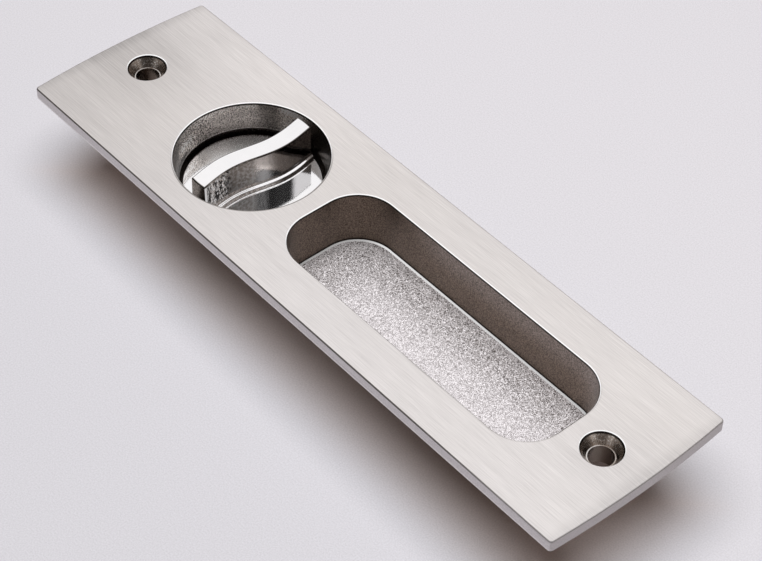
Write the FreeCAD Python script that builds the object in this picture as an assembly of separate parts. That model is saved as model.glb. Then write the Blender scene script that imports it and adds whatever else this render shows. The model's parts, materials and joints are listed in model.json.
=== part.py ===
import FreeCAD, Part
import math
import os

# Sliding door lock: a cast trim plate with a flush pull and a round cup, a turn
# knob with an S-shaped grip in the cup, and a hook-bolt lock case behind the plate.
# Frame: X runs along the plate, Y across it towards the door's edge, Z out of the door.
# The origin is the plate's centre on the door's surface. All sizes are in millimetres.

# Trim plate
PLATE_LONG = 161.6        # over the tips of the bowed ends
PLATE_WIDE = 45.0
PLATE_THICK = 2.6
END_BOW = 1.0             # how far each end bows out past its corners
PLATE_CORNER_R = 0.8
RIM_CHAMFER = 0.25        # bright bevel round every opening in the face
EDGE_ROUND = 0.4
BACK_RELIEF = 0.8         # the casting is thinned this much behind its rim
BACK_RIM = 3.0            # full-thickness rim that lies on the door
BACK_CORNER_R = 2.0
TRIM = 1.5                # how far a cutting or trimming tool runs past its work

# Screw holes through the plate
SCREW_SPACING = 140.0
SCREW_HOLE_R = 2.6
SCREW_SINK_R = 4.2        # cast countersink at the face, inside its bevel
SCREW_SINK_LOW_R = 2.8    # and at the narrow ledge above the hole
SCREW_SINK_DEEP = 2.4
SCREW_BOSS_R = 4.6
SCREW_BOSS_LONG = 4.4

# Flush pull
PULL_X = 24.8             # centre of the recess
PULL_LONG = 74.4
PULL_WIDE = 25.1
PULL_R = 9.0
PULL_DEEP = 13.0
PULL_WALL = 1.6
PULL_FLOOR = 1.6
PULL_FLOOR_ROUND = 0.5
PULL_BACK_ROUND = 1.0

# Round cup
TURN_X = -33.5            # axis of the turn knob, on the plate's centre line
CUP_R = 16.5              # at the face
CUP_LIP_R = 15.4          # at the lip above the dish
CUP_LIP_DEEP = 6.1
CUP_UNDERCUT = 0.4        # how far the wall steps back below the lip
CUP_STEP = 0.5            # height of that step
CUP_WALL = 1.2
CUP_FLOOR = 1.5
CUP_BACK_ROUND = 1.3
STACK_ROOM = 1.4          # radial room round the washers in the cup's back boss
STACK_WALL = 1.5

# Turn knob
DISH_R = 14.85
DISH_DEEP = 7.5           # rim of the dish below the plate's face
DISH_THICK = 1.8
DISH_EDGE_ROUND = 0.2
GRIP_RISE = 0.85          # top of the grip above the plate's face
GRIP_WIDE = 4.15
GRIP_DRAFT = 0.25         # how much each side flares down to the foot
GRIP_SWAY = 0.87          # sideways swing of the S
GRIP_HALF_WAVE = 12.8
GRIP_END_R = 14.45
GRIP_TOP_BREAK = 0.2
FOOT_WIDE = 6.5           # over the moulded step round the grip's foot
FOOT_RISE = 0.08          # upright between the step's hollow and its shoulder
FLOOR_COVE = 0.35         # hollow between the dish and the step
FLANK_COVE = 0.45         # hollow between the step and the grip's side
MOULDING_STEPS = 3        # sections along each quarter round of the moulding
S_STEPS = 12              # points along each side of the S
SHANK_R = 5.0
SHANK_TAIL = 0.3
SHANK_CHAMFER = 0.2
GROOVE_DEEP = 0.6

# Bush, washers and clip that hold the turn in the cup
RUN_GAP = 0.05            # radial clearance of every running fit
FACE_GAP = 0.05           # axial clearance between turning faces
BUSH_WALL = 1.25
BUSH_FLANGE_R = 8.2
BUSH_FLANGE = 0.6
CONE_R = 7.6
CONE_SHEET = 0.3
CONE_RISE = 0.4
WASHER_R = 8.0
WASHER_THICK = 0.5
CLIP_R = 6.9
CLIP_THICK = 0.6
CLIP_OPEN = 2.6
CLIP_EAR_R = 1.5
CLIP_EYE_R = 0.6
CLIP_EAR_OUT = 0.5        # ears stand out from the ring's middle line
CLIP_EAR_TURN = 24.0      # degrees from the opening to each ear
END_GAP = 0.1

# Spindle
SPINDLE_SIDE = 5.0
SPINDLE_GAP = 0.05
SOCKET_DEEP = 3.6
SPINDLE_END_GAP = 0.2
SPINDLE_CHAMFER = 0.3

# Lock case
BACKSET = 25.0            # turn axis to the outer face of the edge plate
CASE_THICK = 10.0
CASE_SHEET = 1.2
CASE_TAIL = 23.3          # turn axis to the inside of the far end wall
BEND_R = 1.6
LUG_LONG = 16.0
LUG_END_R = 3.0

# Hub
HUB_R = 5.0
HUB_FLAT = 0.2            # depth of the detent flats
JOURNAL_R = 4.6
HUB_COLLAR = 0.6
LINK_GAP = 0.1

# Cranks, link and hook
TURN_RANGE = 90.0
CRANK_R = 11.0
CRANK_EYE_R = 3.2
CRANK_PIN_R = 1.6
CRANK_HEAD_R = 2.5
CRANK_HEAD = 0.8
CRANK_HEAD_CHAMFER = 0.25
LINK_X = 31.5             # hook pivot from the turn axis
LINK_Y = 7.0
LINK_HALF_WIDE = 2.2
LINK_THICK = 1.3
HOOK_THICK = 4.0
HOOK_R = 28.0
HOOK_BEAK_THICK = 6.2
HOOK_BEAK = 14.0          # how far the beak reaches past the pivot line
HOOK_NECK_LOW = 4.5
HOOK_NECK_HIGH = 5.5
HOOK_BOSS_R = 6.5
HOOK_THROAT_R = 1.6
HOOK_TIP_R = 0.8
HOOK_END_GAP = 0.8
HOOK_PIN_R = 3.0
HOOK_TENON_R = 2.0
SPACER_R = 4.6

# Detent leaf and its stops
LEAF_THICK = 0.4
LEAF_BOW = 0.35
LEAF_WIDE = 3.6
LEAF_HALF = 12.5
STOP_R = 0.9
STOP_TENON_R = 0.6
STOP_GAP = 0.1

# Pillars, posts and screws
PILLAR_R = 2.2
PILLAR_TENON_R = 1.2
PILLAR_INSET = 0.1        # pillar or its screw's head to the walls beside it
COVER_SCREW_R = 1.25
COVER_SCREW_HEAD_R = 2.3
COVER_SCREW_LONG = 5.0
COVER_SLOT_WIDE = 0.6
COVER_SLOT_DEEP = 0.5
DRILL_SPARE = 0.5         # tapped holes run this far past their screws
POST_R = 3.2
POST_FAR_INSET = 5.5      # post from the case's far end
POST_NEAR_INSET = 6.5
POST_FAR_LOW_Y = -1.0
POST_FAR_HIGH_Y = 15.5
POST_EDGE = 4.6           # post from the edge plate's inner face
FIX_SCREW_R = 1.75
FIX_HEAD_R = 2.8
FIX_HEAD = 1.8
FIX_HEAD_ROUND = 0.6
FIX_SLOT_WIDE = 0.8
FIX_SLOT_DEEP = 0.7
FIX_LONG = 8.0
HOLE_GAP = 0.2            # radial play of a screw in its clearance hole
EAR_R = 3.7

# Edge plate
FOREND_THICK = 2.5
SLOT_GAP = 0.5
SLOT_END_GAP = 0.8
FOREND_HOLE_INSET = 5.5
FOREND_HOLE_R = 2.1
FOREND_SINK_R = 3.8
FOREND_SCREW_X = 3.6      # small screws from the case's ends
FOREND_SCREW_R = 1.5
FOREND_SCREW_HEAD_R = 2.7
FOREND_SCREW_LONG = 5.0
FOREND_SLOT_WIDE = 0.7
FOREND_SLOT_DEEP = 0.5
LUG_HOLE_GAP = 0.4        # the lugs' screw holes are this much larger all round

# Heights worked out from the sizes above
FACE_Z = PLATE_THICK
PULL_FLOOR_Z = FACE_Z - PULL_DEEP
PULL_BACK_Z = PULL_FLOOR_Z - PULL_FLOOR
LIP_Z = FACE_Z - CUP_LIP_DEEP
DISH_TOP_Z = FACE_Z - DISH_DEEP
DISH_LOW_Z = DISH_TOP_Z - DISH_THICK
BUSH_TOP_Z = DISH_LOW_Z - FACE_GAP
CUP_FLOOR_Z = BUSH_TOP_Z - BUSH_FLANGE
CUP_BACK_Z = CUP_FLOOR_Z - CUP_FLOOR
CONE_TOP_Z = CUP_BACK_Z - FACE_GAP
CONE_LOW_Z = CONE_TOP_Z - CONE_SHEET - CONE_RISE
WASHER_TOP_Z = CONE_LOW_Z - FACE_GAP
WASHER_LOW_Z = WASHER_TOP_Z - WASHER_THICK
CLIP_TOP_Z = WASHER_LOW_Z - FACE_GAP
CLIP_LOW_Z = CLIP_TOP_Z - CLIP_THICK
SHANK_END_Z = CLIP_LOW_Z - SHANK_TAIL
BACK_Z = min(PULL_BACK_Z, SHANK_END_Z - END_GAP)
COVER_LOW_Z = BACK_Z - CASE_SHEET
CASE_LOW_Z = BACK_Z - CASE_THICK
CASE_FLOOR_Z = CASE_LOW_Z + CASE_SHEET
CASE_MID_Z = (COVER_LOW_Z + CASE_FLOOR_Z) / 2.0
HOOK_LOW_Z = CASE_MID_Z - HOOK_THICK / 2.0
HOOK_TOP_Z = CASE_MID_Z + HOOK_THICK / 2.0
LINK_LOW_Z = HOOK_TOP_Z + LINK_GAP
LINK_TOP_Z = LINK_LOW_Z + LINK_THICK
GRIP_TOP_Z = FACE_Z + GRIP_RISE
FOOT_SHOULDER = (FOOT_WIDE - GRIP_WIDE) / 2 - GRIP_DRAFT - FLANK_COVE
FOOT_TOP_Z = DISH_TOP_Z + FLOOR_COVE + FOOT_RISE + FOOT_SHOULDER
FOREND_MID_Z = (CASE_LOW_Z + BACK_Z) / 2.0

# Places worked out from the sizes above
HUB = (TURN_X, 0.0)
HOOK = (TURN_X + LINK_X, LINK_Y)
LINK_ANGLE = math.degrees(math.atan2(LINK_Y, LINK_X))
CRANK_ANGLE = LINK_ANGLE + 90.0 - TURN_RANGE / 2.0
FOREND_BACK_Y = BACKSET - FOREND_THICK
CASE_REAR_IN_Y = -(HUB_R + RUN_GAP + LEAF_THICK + LEAF_BOW)
CASE_REAR_Y = CASE_REAR_IN_Y - CASE_SHEET
CASE_FAR_IN_X = TURN_X - CASE_TAIL
CASE_FAR_X = CASE_FAR_IN_X - CASE_SHEET
CASE_NEAR_IN_X = HOOK[0] + HOOK_R + HOOK_END_GAP
CASE_NEAR_X = CASE_NEAR_IN_X + CASE_SHEET
LUG_FAR_X = CASE_FAR_X - LUG_LONG
LUG_NEAR_X = CASE_NEAR_X + LUG_LONG
POSTS = [
    (CASE_FAR_X - POST_FAR_INSET, POST_FAR_LOW_Y),
    (CASE_FAR_X - POST_FAR_INSET, POST_FAR_HIGH_Y),
    (CASE_NEAR_X + POST_NEAR_INSET, FOREND_BACK_Y - POST_EDGE),
]
PILLAR_SET = max(PILLAR_R, COVER_SCREW_HEAD_R) + PILLAR_INSET
PILLARS = [
    (CASE_FAR_IN_X + PILLAR_SET, CASE_REAR_IN_Y + PILLAR_SET),
    (CASE_FAR_IN_X + PILLAR_SET, FOREND_BACK_Y - PILLAR_SET),
    ((HUB[0] + HOOK[0]) / 2.0, FOREND_BACK_Y - PILLAR_SET),
    (CASE_NEAR_IN_X - PILLAR_SET, CASE_REAR_IN_Y + PILLAR_SET),
]


def rod(x, y, z0, z1, r):
    """A round bar along Z between two heights."""
    return Part.makeCylinder(r, z1 - z0, FreeCAD.Vector(x, y, z0))


def block(x0, x1, y0, y1, z0, z1):
    """A plain block between two corners."""
    return Part.makeBox(x1 - x0, y1 - y0, z1 - z0, FreeCAD.Vector(x0, y0, z0))


def cone(x, y, z0, z1, r0, r1):
    """A cone frustum along Z: radius r0 at z0 and r1 at z1."""
    return Part.makeCone(r0, r1, z1 - z0, FreeCAD.Vector(x, y, z0))


def prism(points, z0, z1):
    """A closed outline of (x, y) corners, raised from z0 to z1."""
    loop = [FreeCAD.Vector(x, y, z0) for x, y in points]
    wire = Part.makePolygon(loop + loop[:1])
    return Part.Face(wire).extrude(FreeCAD.Vector(0, 0, z1 - z0))


def revolved(points, x, y):
    """A closed (radius, height) section turned round the upright axis at x, y."""
    loop = [FreeCAD.Vector(r, 0, z) for r, z in points]
    face = Part.Face(Part.makePolygon(loop + loop[:1]))
    solid = face.revolve(FreeCAD.Vector(0, 0, 0), FreeCAD.Vector(0, 0, 1), 360)
    solid.translate(FreeCAD.Vector(x, y, 0))
    return solid


def rounded_loop(cx, long, wide, r, z):
    """A level outline on the plate's centre line, with four round corners."""
    edges = []
    last = FreeCAD.Vector(cx + long / 2, r - wide / 2, z)
    for turn, (side_x, side_y) in enumerate(((1, 1), (-1, 1), (-1, -1), (1, -1))):
        centre = (cx + side_x * (long / 2 - r), side_y * (wide / 2 - r))
        points = [polar(centre, r, 90.0 * turn + part) for part in (0.0, 45.0, 90.0)]
        a, b, c = [FreeCAD.Vector(x, y, z) for x, y in points]
        edges.append(Part.makeLine(last, a))
        edges.append(Part.Arc(a, b, c).toShape())
        last = c
    return Part.Wire(edges)


def rounded_block(cx, long, wide, r, z0, z1):
    """An upright block on the plate's centre line with its four corners rounded."""
    face = Part.Face(rounded_loop(cx, long, wide, r, z0))
    return face.extrude(FreeCAD.Vector(0, 0, z1 - z0))


def upright_edges(shape):
    """The straight edges that run along Z."""
    found = []
    for edge in shape.Edges:
        box = edge.BoundBox
        if box.ZLength > 1e-6 and box.XLength < 1e-6 and box.YLength < 1e-6:
            found.append(edge)
    return found


def level_edges(shape, z):
    """The edges that lie flat at one height."""
    found = []
    for edge in shape.Edges:
        box = edge.BoundBox
        if abs(box.ZMin - z) < 1e-5 and abs(box.ZMax - z) < 1e-5:
            found.append(edge)
    return found


def edges_near(shape, x, y, reach=0.05):
    """The upright edges within reach of a point."""
    found = []
    for edge in upright_edges(shape):
        box = edge.BoundBox
        if math.hypot(box.Center.x - x, box.Center.y - y) < reach:
            found.append(edge)
    return found


def polar(centre, r, degrees):
    """The point at a distance and angle from a centre."""
    a = math.radians(degrees)
    return (centre[0] + r * math.cos(a), centre[1] + r * math.sin(a))


def bar(a, b, ra, rb, half, z0, z1):
    """A flat bar with a round eye at each end and straight flanks between them."""
    run = math.hypot(b[0] - a[0], b[1] - a[1])
    ux, uy = (b[0] - a[0]) / run, (b[1] - a[1]) / run
    corners = []
    for point, side in ((a, 1), (b, 1), (b, -1), (a, -1)):
        corners.append((point[0] - uy * half * side, point[1] + ux * half * side))
    body = prism(corners, z0, z1)
    body = body.fuse([rod(a[0], a[1], z0, z1, ra), rod(b[0], b[1], z0, z1, rb)])
    return body.removeSplitter()


def square_bar(x, y, side, z0, z1):
    """A square bar along Z."""
    return block(x - side / 2, x + side / 2, y - side / 2, y + side / 2, z0, z1)


def slot_cut(x, y, r, wide, z0, z1):
    """The straight driver slot across an upright screw's head."""
    return block(x - r, x + r, y - wide / 2, y + wide / 2, z0, z1)


def sink(x, y, z, r_hole, r_head):
    """A ninety-degree countersink that opens upwards at height z."""
    return cone(x, y, z - (r_head - r_hole), z, r_hole, r_head)


def plate_blank():
    """The plate's outline with bowed ends, its corners and face edge eased."""
    corner_x = PLATE_LONG / 2 - END_BOW
    half = PLATE_WIDE / 2
    a = FreeCAD.Vector(-corner_x, -half, 0)
    b = FreeCAD.Vector(corner_x, -half, 0)
    c = FreeCAD.Vector(corner_x, half, 0)
    d = FreeCAD.Vector(-corner_x, half, 0)
    near = Part.Arc(b, FreeCAD.Vector(PLATE_LONG / 2, 0, 0), c).toShape()
    far = Part.Arc(d, FreeCAD.Vector(-PLATE_LONG / 2, 0, 0), a).toShape()
    sides = [Part.makeLine(a, b), near, Part.makeLine(c, d), far]
    body = Part.Face(Part.Wire(sides)).extrude(FreeCAD.Vector(0, 0, PLATE_THICK))
    body = body.makeFillet(PLATE_CORNER_R, upright_edges(body))
    body = body.makeFillet(EDGE_ROUND, level_edges(body, FACE_Z))
    long = PLATE_LONG - 2 * (END_BOW + BACK_RIM)
    wide = PLATE_WIDE - 2 * BACK_RIM
    return body.cut(rounded_block(0, long, wide, BACK_CORNER_R, -TRIM, BACK_RELIEF))


def pull_shell():
    """The outside of the flush pull's cup."""
    long = PULL_LONG + 2 * PULL_WALL
    wide = PULL_WIDE + 2 * PULL_WALL
    shell = rounded_block(PULL_X, long, wide, PULL_R + PULL_WALL, PULL_BACK_Z, BACK_RELIEF)
    return shell.makeFillet(PULL_BACK_ROUND, level_edges(shell, PULL_BACK_Z))


def pull_hollow():
    """The recess for the fingers, with its bevelled rim."""
    rim_z = FACE_Z - RIM_CHAMFER
    hollow = rounded_block(PULL_X, PULL_LONG, PULL_WIDE, PULL_R, PULL_FLOOR_Z, rim_z)
    hollow = hollow.makeFillet(PULL_FLOOR_ROUND, level_edges(hollow, PULL_FLOOR_Z))
    long = PULL_LONG + 2 * RIM_CHAMFER
    wide = PULL_WIDE + 2 * RIM_CHAMFER
    low = rounded_loop(PULL_X, PULL_LONG, PULL_WIDE, PULL_R, rim_z)
    high = rounded_loop(PULL_X, long, wide, PULL_R + RIM_CHAMFER, FACE_Z)
    return hollow.fuse(Part.makeLoft([low, high], True, True))


def cup_shell():
    """The outside of the round cup, with the boss round the washers behind it."""
    cup_r = CUP_LIP_R + CUP_UNDERCUT + CUP_WALL
    shell = rod(TURN_X, 0, CUP_BACK_Z, BACK_RELIEF, cup_r)
    shell = shell.makeFillet(CUP_BACK_ROUND, level_edges(shell, CUP_BACK_Z))
    return shell.fuse(rod(TURN_X, 0, BACK_Z, CUP_BACK_Z, stack_r() + STACK_WALL))


def stack_r():
    """The radius of the hollow for the washers in the cup's back boss."""
    return max(WASHER_R, CONE_R, CLIP_R) + STACK_ROOM


def cup_hollow():
    """The round cup's inside: tapered wall, lip, undercut and floor."""
    under_r = CUP_LIP_R + CUP_UNDERCUT
    section = [
        (0, CUP_FLOOR_Z),
        (under_r, CUP_FLOOR_Z),
        (under_r, LIP_Z - CUP_STEP),
        (CUP_LIP_R, LIP_Z),
        (CUP_R, FACE_Z - RIM_CHAMFER),
        (CUP_R + RIM_CHAMFER, FACE_Z),
        (0, FACE_Z),
    ]
    return revolved(section, TURN_X, 0)


def screw_hollow(x):
    """A screw hole: bevelled rim, steep countersink, narrow ledge and through hole."""
    ledge_z = FACE_Z - SCREW_SINK_DEEP
    section = [
        (0, -SCREW_BOSS_LONG),
        (SCREW_HOLE_R, -SCREW_BOSS_LONG),
        (SCREW_HOLE_R, ledge_z),
        (SCREW_SINK_LOW_R, ledge_z),
        (SCREW_SINK_R, FACE_Z - RIM_CHAMFER),
        (SCREW_SINK_R + RIM_CHAMFER, FACE_Z),
        (0, FACE_Z),
    ]
    return revolved(section, x, 0)


def face_plate():
    """The casting: plate, both cups, screw bosses and the posts that carry the case."""
    solids = [pull_shell(), cup_shell()]
    cuts = [pull_hollow(), cup_hollow()]
    cuts.append(rod(TURN_X, 0, BACK_Z, CUP_BACK_Z, stack_r()))
    cuts.append(rod(TURN_X, 0, CUP_BACK_Z, CUP_FLOOR_Z, SHANK_R + RUN_GAP + BUSH_WALL))
    for side in (-1, 1):
        x = side * SCREW_SPACING / 2
        solids.append(rod(x, 0, -SCREW_BOSS_LONG, BACK_RELIEF, SCREW_BOSS_R))
        cuts.append(screw_hollow(x))
    for x, y in POSTS:
        solids.append(rod(x, y, BACK_Z, BACK_RELIEF, POST_R))
        cuts.append(rod(x, y, BACK_Z, COVER_LOW_Z + FIX_LONG + DRILL_SPARE, FIX_SCREW_R))
    body = plate_blank().fuse(solids)
    for cutter in cuts:
        body = body.cut(cutter)
    return body.removeSplitter()


def sway(y):
    """How far the S-shaped centre line stands to one side at y."""
    return GRIP_SWAY * math.sin(math.pi * y / GRIP_HALF_WAVE)


def s_outline(wide, z):
    """The closed outline of the S at one height, longer than the grip's ends."""
    reach = GRIP_END_R + TRIM
    ys = [reach * (2.0 * i / S_STEPS - 1.0) for i in range(S_STEPS + 1)]
    right = [FreeCAD.Vector(TURN_X + sway(y) + wide / 2, y, z) for y in ys]
    left = [FreeCAD.Vector(TURN_X + sway(y) - wide / 2, y, z) for y in reversed(ys)]
    curves = []
    for points in (right, left):
        curve = Part.BSplineCurve()
        curve.interpolate(points)
        curves.append(curve.toShape())
    ends = [Part.makeLine(right[-1], left[0]), Part.makeLine(left[-1], right[0])]
    return Part.Wire([curves[0], ends[0], curves[1], ends[1]])


def grip():
    """The S-shaped grip: drafted sides, squared-off ends and eased top edges."""
    foot_wide = GRIP_WIDE + 2 * GRIP_DRAFT
    sections = [s_outline(foot_wide, DISH_TOP_Z), s_outline(GRIP_WIDE, GRIP_TOP_Z)]
    body = Part.makeLoft(sections, True, True)
    body = body.common(rod(TURN_X, 0, DISH_TOP_Z, GRIP_TOP_Z, GRIP_END_R))
    return body.makeFillet(GRIP_TOP_BREAK, level_edges(body, GRIP_TOP_Z))


def moulding_profile():
    """Half width and height up the moulding: cove, shoulder and a second cove."""
    side = FOOT_WIDE / 2
    flank = GRIP_WIDE / 2 + GRIP_DRAFT
    quarter = [math.radians(90.0 * i / MOULDING_STEPS) for i in range(MOULDING_STEPS + 1)]
    profile = []
    for a in quarter:
        out = side + FLOOR_COVE * (1 - math.sin(a))
        profile.append((out, DISH_TOP_Z + FLOOR_COVE * (1 - math.cos(a))))
    for a in quarter:
        out = side - FOOT_SHOULDER * (1 - math.cos(a))
        profile.append((out, FOOT_TOP_Z - FOOT_SHOULDER * (1 - math.sin(a))))
    for a in quarter[1:]:
        out = flank + FLANK_COVE * (1 - math.sin(a))
        profile.append((out, FOOT_TOP_Z + FLANK_COVE * (1 - math.cos(a))))
    return profile


def grip_foot():
    """The S-shaped moulding round the grip's foot, lofted up its hollow profile."""
    body = Part.makeLoft([s_outline(2 * half, z) for half, z in moulding_profile()], True)
    return body.common(rod(TURN_X, 0, DISH_LOW_Z, GRIP_TOP_Z, GRIP_END_R))


def dish():
    """The flat round dish under the grip, rounded at its edge."""
    body = rod(TURN_X, 0, DISH_LOW_Z, DISH_TOP_Z, DISH_R)
    return body.makeFillet(DISH_EDGE_ROUND, level_edges(body, DISH_TOP_Z))


def thumb_turn():
    """The turn knob: dish, S grip and the grooved shank with its square socket."""
    shank = rod(TURN_X, 0, SHANK_END_Z, DISH_LOW_Z, SHANK_R)
    shank = shank.makeChamfer(SHANK_CHAMFER, level_edges(shank, SHANK_END_Z))
    body = dish().fuse([grip(), grip_foot(), shank]).removeSplitter()
    ring = rod(TURN_X, 0, CLIP_LOW_Z, CLIP_TOP_Z, CLIP_R)
    ring = ring.cut(rod(TURN_X, 0, CLIP_LOW_Z, CLIP_TOP_Z, SHANK_R - GROOVE_DEEP))
    socket_side = SPINDLE_SIDE + 2 * SPINDLE_GAP
    socket = square_bar(TURN_X, 0, socket_side, SHANK_END_Z, SHANK_END_Z + SOCKET_DEEP)
    return body.cut(ring).cut(socket)


def turn_bush():
    """The flanged bush that the shank turns in."""
    bore = SHANK_R + RUN_GAP
    section = [
        (bore, CUP_BACK_Z),
        (bore + BUSH_WALL, CUP_BACK_Z),
        (bore + BUSH_WALL, CUP_FLOOR_Z),
        (BUSH_FLANGE_R, CUP_FLOOR_Z),
        (BUSH_FLANGE_R, BUSH_TOP_Z),
        (bore, BUSH_TOP_Z),
    ]
    return revolved(section, TURN_X, 0)


def spring_washer():
    """The conical spring washer behind the cup's floor."""
    bore = SHANK_R + RUN_GAP
    section = [
        (bore, CONE_TOP_Z - CONE_SHEET),
        (CONE_R, CONE_LOW_Z),
        (CONE_R, CONE_LOW_Z + CONE_SHEET),
        (bore, CONE_TOP_Z),
    ]
    return revolved(section, TURN_X, 0)


def turn_washer():
    """The flat washer between the spring washer and the retaining ring."""
    outer = rod(TURN_X, 0, WASHER_LOW_Z, WASHER_TOP_Z, WASHER_R)
    return outer.cut(rod(TURN_X, 0, WASHER_LOW_Z, WASHER_TOP_Z, SHANK_R + RUN_GAP))


def turn_clip():
    """The open retaining ring in the shank's groove, with a hole in each end."""
    seat_r = SHANK_R - GROOVE_DEEP
    mid_r = (seat_r + CLIP_R) / 2
    body = rod(TURN_X, 0, CLIP_LOW_Z, CLIP_TOP_Z, CLIP_R)
    ears = [polar(HUB, mid_r + CLIP_EAR_OUT, 180 + side * CLIP_EAR_TURN) for side in (-1, 1)]
    for x, y in ears:
        body = body.fuse(rod(x, y, CLIP_LOW_Z, CLIP_TOP_Z, CLIP_EAR_R))
    body = body.cut(rod(TURN_X, 0, CLIP_LOW_Z, CLIP_TOP_Z, seat_r))
    half = CLIP_OPEN / 2
    body = body.cut(block(TURN_X - 2 * CLIP_R, TURN_X, -half, half, CLIP_LOW_Z, CLIP_TOP_Z))
    for x, y in ears:
        body = body.cut(rod(x, y, CLIP_LOW_Z, CLIP_TOP_Z, CLIP_EYE_R))
    return body.removeSplitter()


def spindle():
    """The square bar that carries the turn into the hub."""
    top = SHANK_END_Z + SOCKET_DEEP - SPINDLE_END_GAP
    low = CASE_LOW_Z + SPINDLE_END_GAP
    body = square_bar(TURN_X, 0, SPINDLE_SIDE, low, top)
    return body.makeChamfer(SPINDLE_CHAMFER, level_edges(body, top) + level_edges(body, low))


def hub():
    """The follower: journals, detent flats, square bore and crank arm in one."""
    barrel = rod(HUB[0], HUB[1], CASE_FLOOR_Z + FACE_GAP, HOOK_TOP_Z, HUB_R)
    across = 2 * (HUB_R - HUB_FLAT)
    flats = square_bar(HUB[0], HUB[1], across, CASE_FLOOR_Z, HOOK_TOP_Z)
    barrel = barrel.common(flats)
    collar_low = COVER_LOW_Z - FACE_GAP - HUB_COLLAR
    collar = rod(HUB[0], HUB[1], collar_low, COVER_LOW_Z - FACE_GAP, HUB_R)
    journal = rod(HUB[0], HUB[1], CASE_LOW_Z, BACK_Z, JOURNAL_R)
    eye = polar(HUB, CRANK_R, CRANK_ANGLE)
    arm = bar(HUB, eye, JOURNAL_R, CRANK_EYE_R, CRANK_EYE_R, HOOK_LOW_Z, HOOK_TOP_Z)
    body = barrel.fuse([collar, journal, arm]).removeSplitter()
    body = body.cut(rod(eye[0], eye[1], HOOK_LOW_Z, HOOK_TOP_Z, CRANK_PIN_R))
    bore = square_bar(HUB[0], HUB[1], SPINDLE_SIDE + 2 * SPINDLE_GAP, CASE_LOW_Z, BACK_Z)
    return body.cut(bore)


def crank_pin(centre):
    """A headed pin through a crank eye and the link, peened flush on top."""
    x, y = polar(centre, CRANK_R, CRANK_ANGLE)
    head = rod(x, y, HOOK_LOW_Z - CRANK_HEAD, HOOK_LOW_Z, CRANK_HEAD_R)
    head = head.makeChamfer(CRANK_HEAD_CHAMFER, level_edges(head, HOOK_LOW_Z - CRANK_HEAD))
    return head.fuse(rod(x, y, HOOK_LOW_Z, LINK_TOP_Z + FACE_GAP, CRANK_PIN_R)).removeSplitter()


def drive_link():
    """The flat bar that makes the hook turn with the hub."""
    a = polar(HUB, CRANK_R, CRANK_ANGLE)
    b = polar(HOOK, CRANK_R, CRANK_ANGLE)
    body = bar(a, b, CRANK_EYE_R, CRANK_EYE_R, LINK_HALF_WIDE, LINK_LOW_Z, LINK_TOP_Z)
    for x, y in (a, b):
        body = body.cut(rod(x, y, LINK_LOW_Z, LINK_TOP_Z, CRANK_PIN_R + RUN_GAP))
    return body


def hook_bolt():
    """The hook: boss, neck, beak and crank arm, cut from one plate."""
    x, y = HOOK
    z0, z1 = HOOK_LOW_Z, HOOK_TOP_Z
    throat_x = x + HOOK_R - HOOK_BEAK_THICK
    neck = block(x, x + HOOK_R, y - HOOK_NECK_LOW, y + HOOK_NECK_HIGH, z0, z1)
    beak = block(throat_x, x + HOOK_R, y - HOOK_NECK_LOW, y + HOOK_BEAK, z0, z1)
    head = neck.fuse(beak).common(rod(x, y, z0, z1, HOOK_R)).removeSplitter()
    head = head.makeFillet(HOOK_THROAT_R, edges_near(head, throat_x, y + HOOK_NECK_HIGH))
    tip_u = math.sqrt(HOOK_R ** 2 - HOOK_BEAK ** 2)
    tips = edges_near(head, x + tip_u, y + HOOK_BEAK)
    tips += edges_near(head, throat_x, y + HOOK_BEAK)
    head = head.makeFillet(HOOK_TIP_R, tips)
    eye = polar(HOOK, CRANK_R, CRANK_ANGLE)
    arm = bar(HOOK, eye, HOOK_BOSS_R, CRANK_EYE_R, CRANK_EYE_R, z0, z1)
    body = head.fuse(arm).removeSplitter()
    body = body.cut(rod(x, y, z0, z1, HOOK_PIN_R + RUN_GAP))
    return body.cut(rod(eye[0], eye[1], z0, z1, CRANK_PIN_R))


def hook_pivot():
    """The stepped pin that the hook turns on, riveted into both sheets."""
    x, y = HOOK
    body = rod(x, y, CASE_FLOOR_Z, COVER_LOW_Z, HOOK_PIN_R)
    return body.fuse(rod(x, y, CASE_LOW_Z, BACK_Z, HOOK_TENON_R)).removeSplitter()


def hook_spacers():
    """A ring under the hook and one over it, so that it runs in mid-case."""
    x, y = HOOK
    rings = []
    levels = ((CASE_FLOOR_Z, HOOK_LOW_Z - FACE_GAP), (HOOK_TOP_Z + FACE_GAP, COVER_LOW_Z))
    for z0, z1 in levels:
        ring = rod(x, y, z0, z1, SPACER_R)
        rings.append(ring.cut(rod(x, y, z0, z1, HOOK_PIN_R + RUN_GAP)))
    return Part.makeCompound(rings)


def detent_spring():
    """The bowed leaf that bears on the hub's flats."""
    z0 = CASE_MID_Z - LEAF_WIDE / 2
    top_mid = -(HUB_R + RUN_GAP)
    top_end = top_mid - LEAF_BOW
    faces = []
    for drop in (0.0, LEAF_THICK):
        a = FreeCAD.Vector(HUB[0] - LEAF_HALF, top_end - drop, z0)
        b = FreeCAD.Vector(HUB[0], top_mid - drop, z0)
        c = FreeCAD.Vector(HUB[0] + LEAF_HALF, top_end - drop, z0)
        faces.append((a, b, c))
    front, back = faces
    edges = [
        Part.Arc(*front).toShape(),
        Part.makeLine(front[2], back[2]),
        Part.Arc(back[2], back[1], back[0]).toShape(),
        Part.makeLine(back[0], front[0]),
    ]
    return Part.Face(Part.Wire(edges)).extrude(FreeCAD.Vector(0, 0, LEAF_WIDE))


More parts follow.
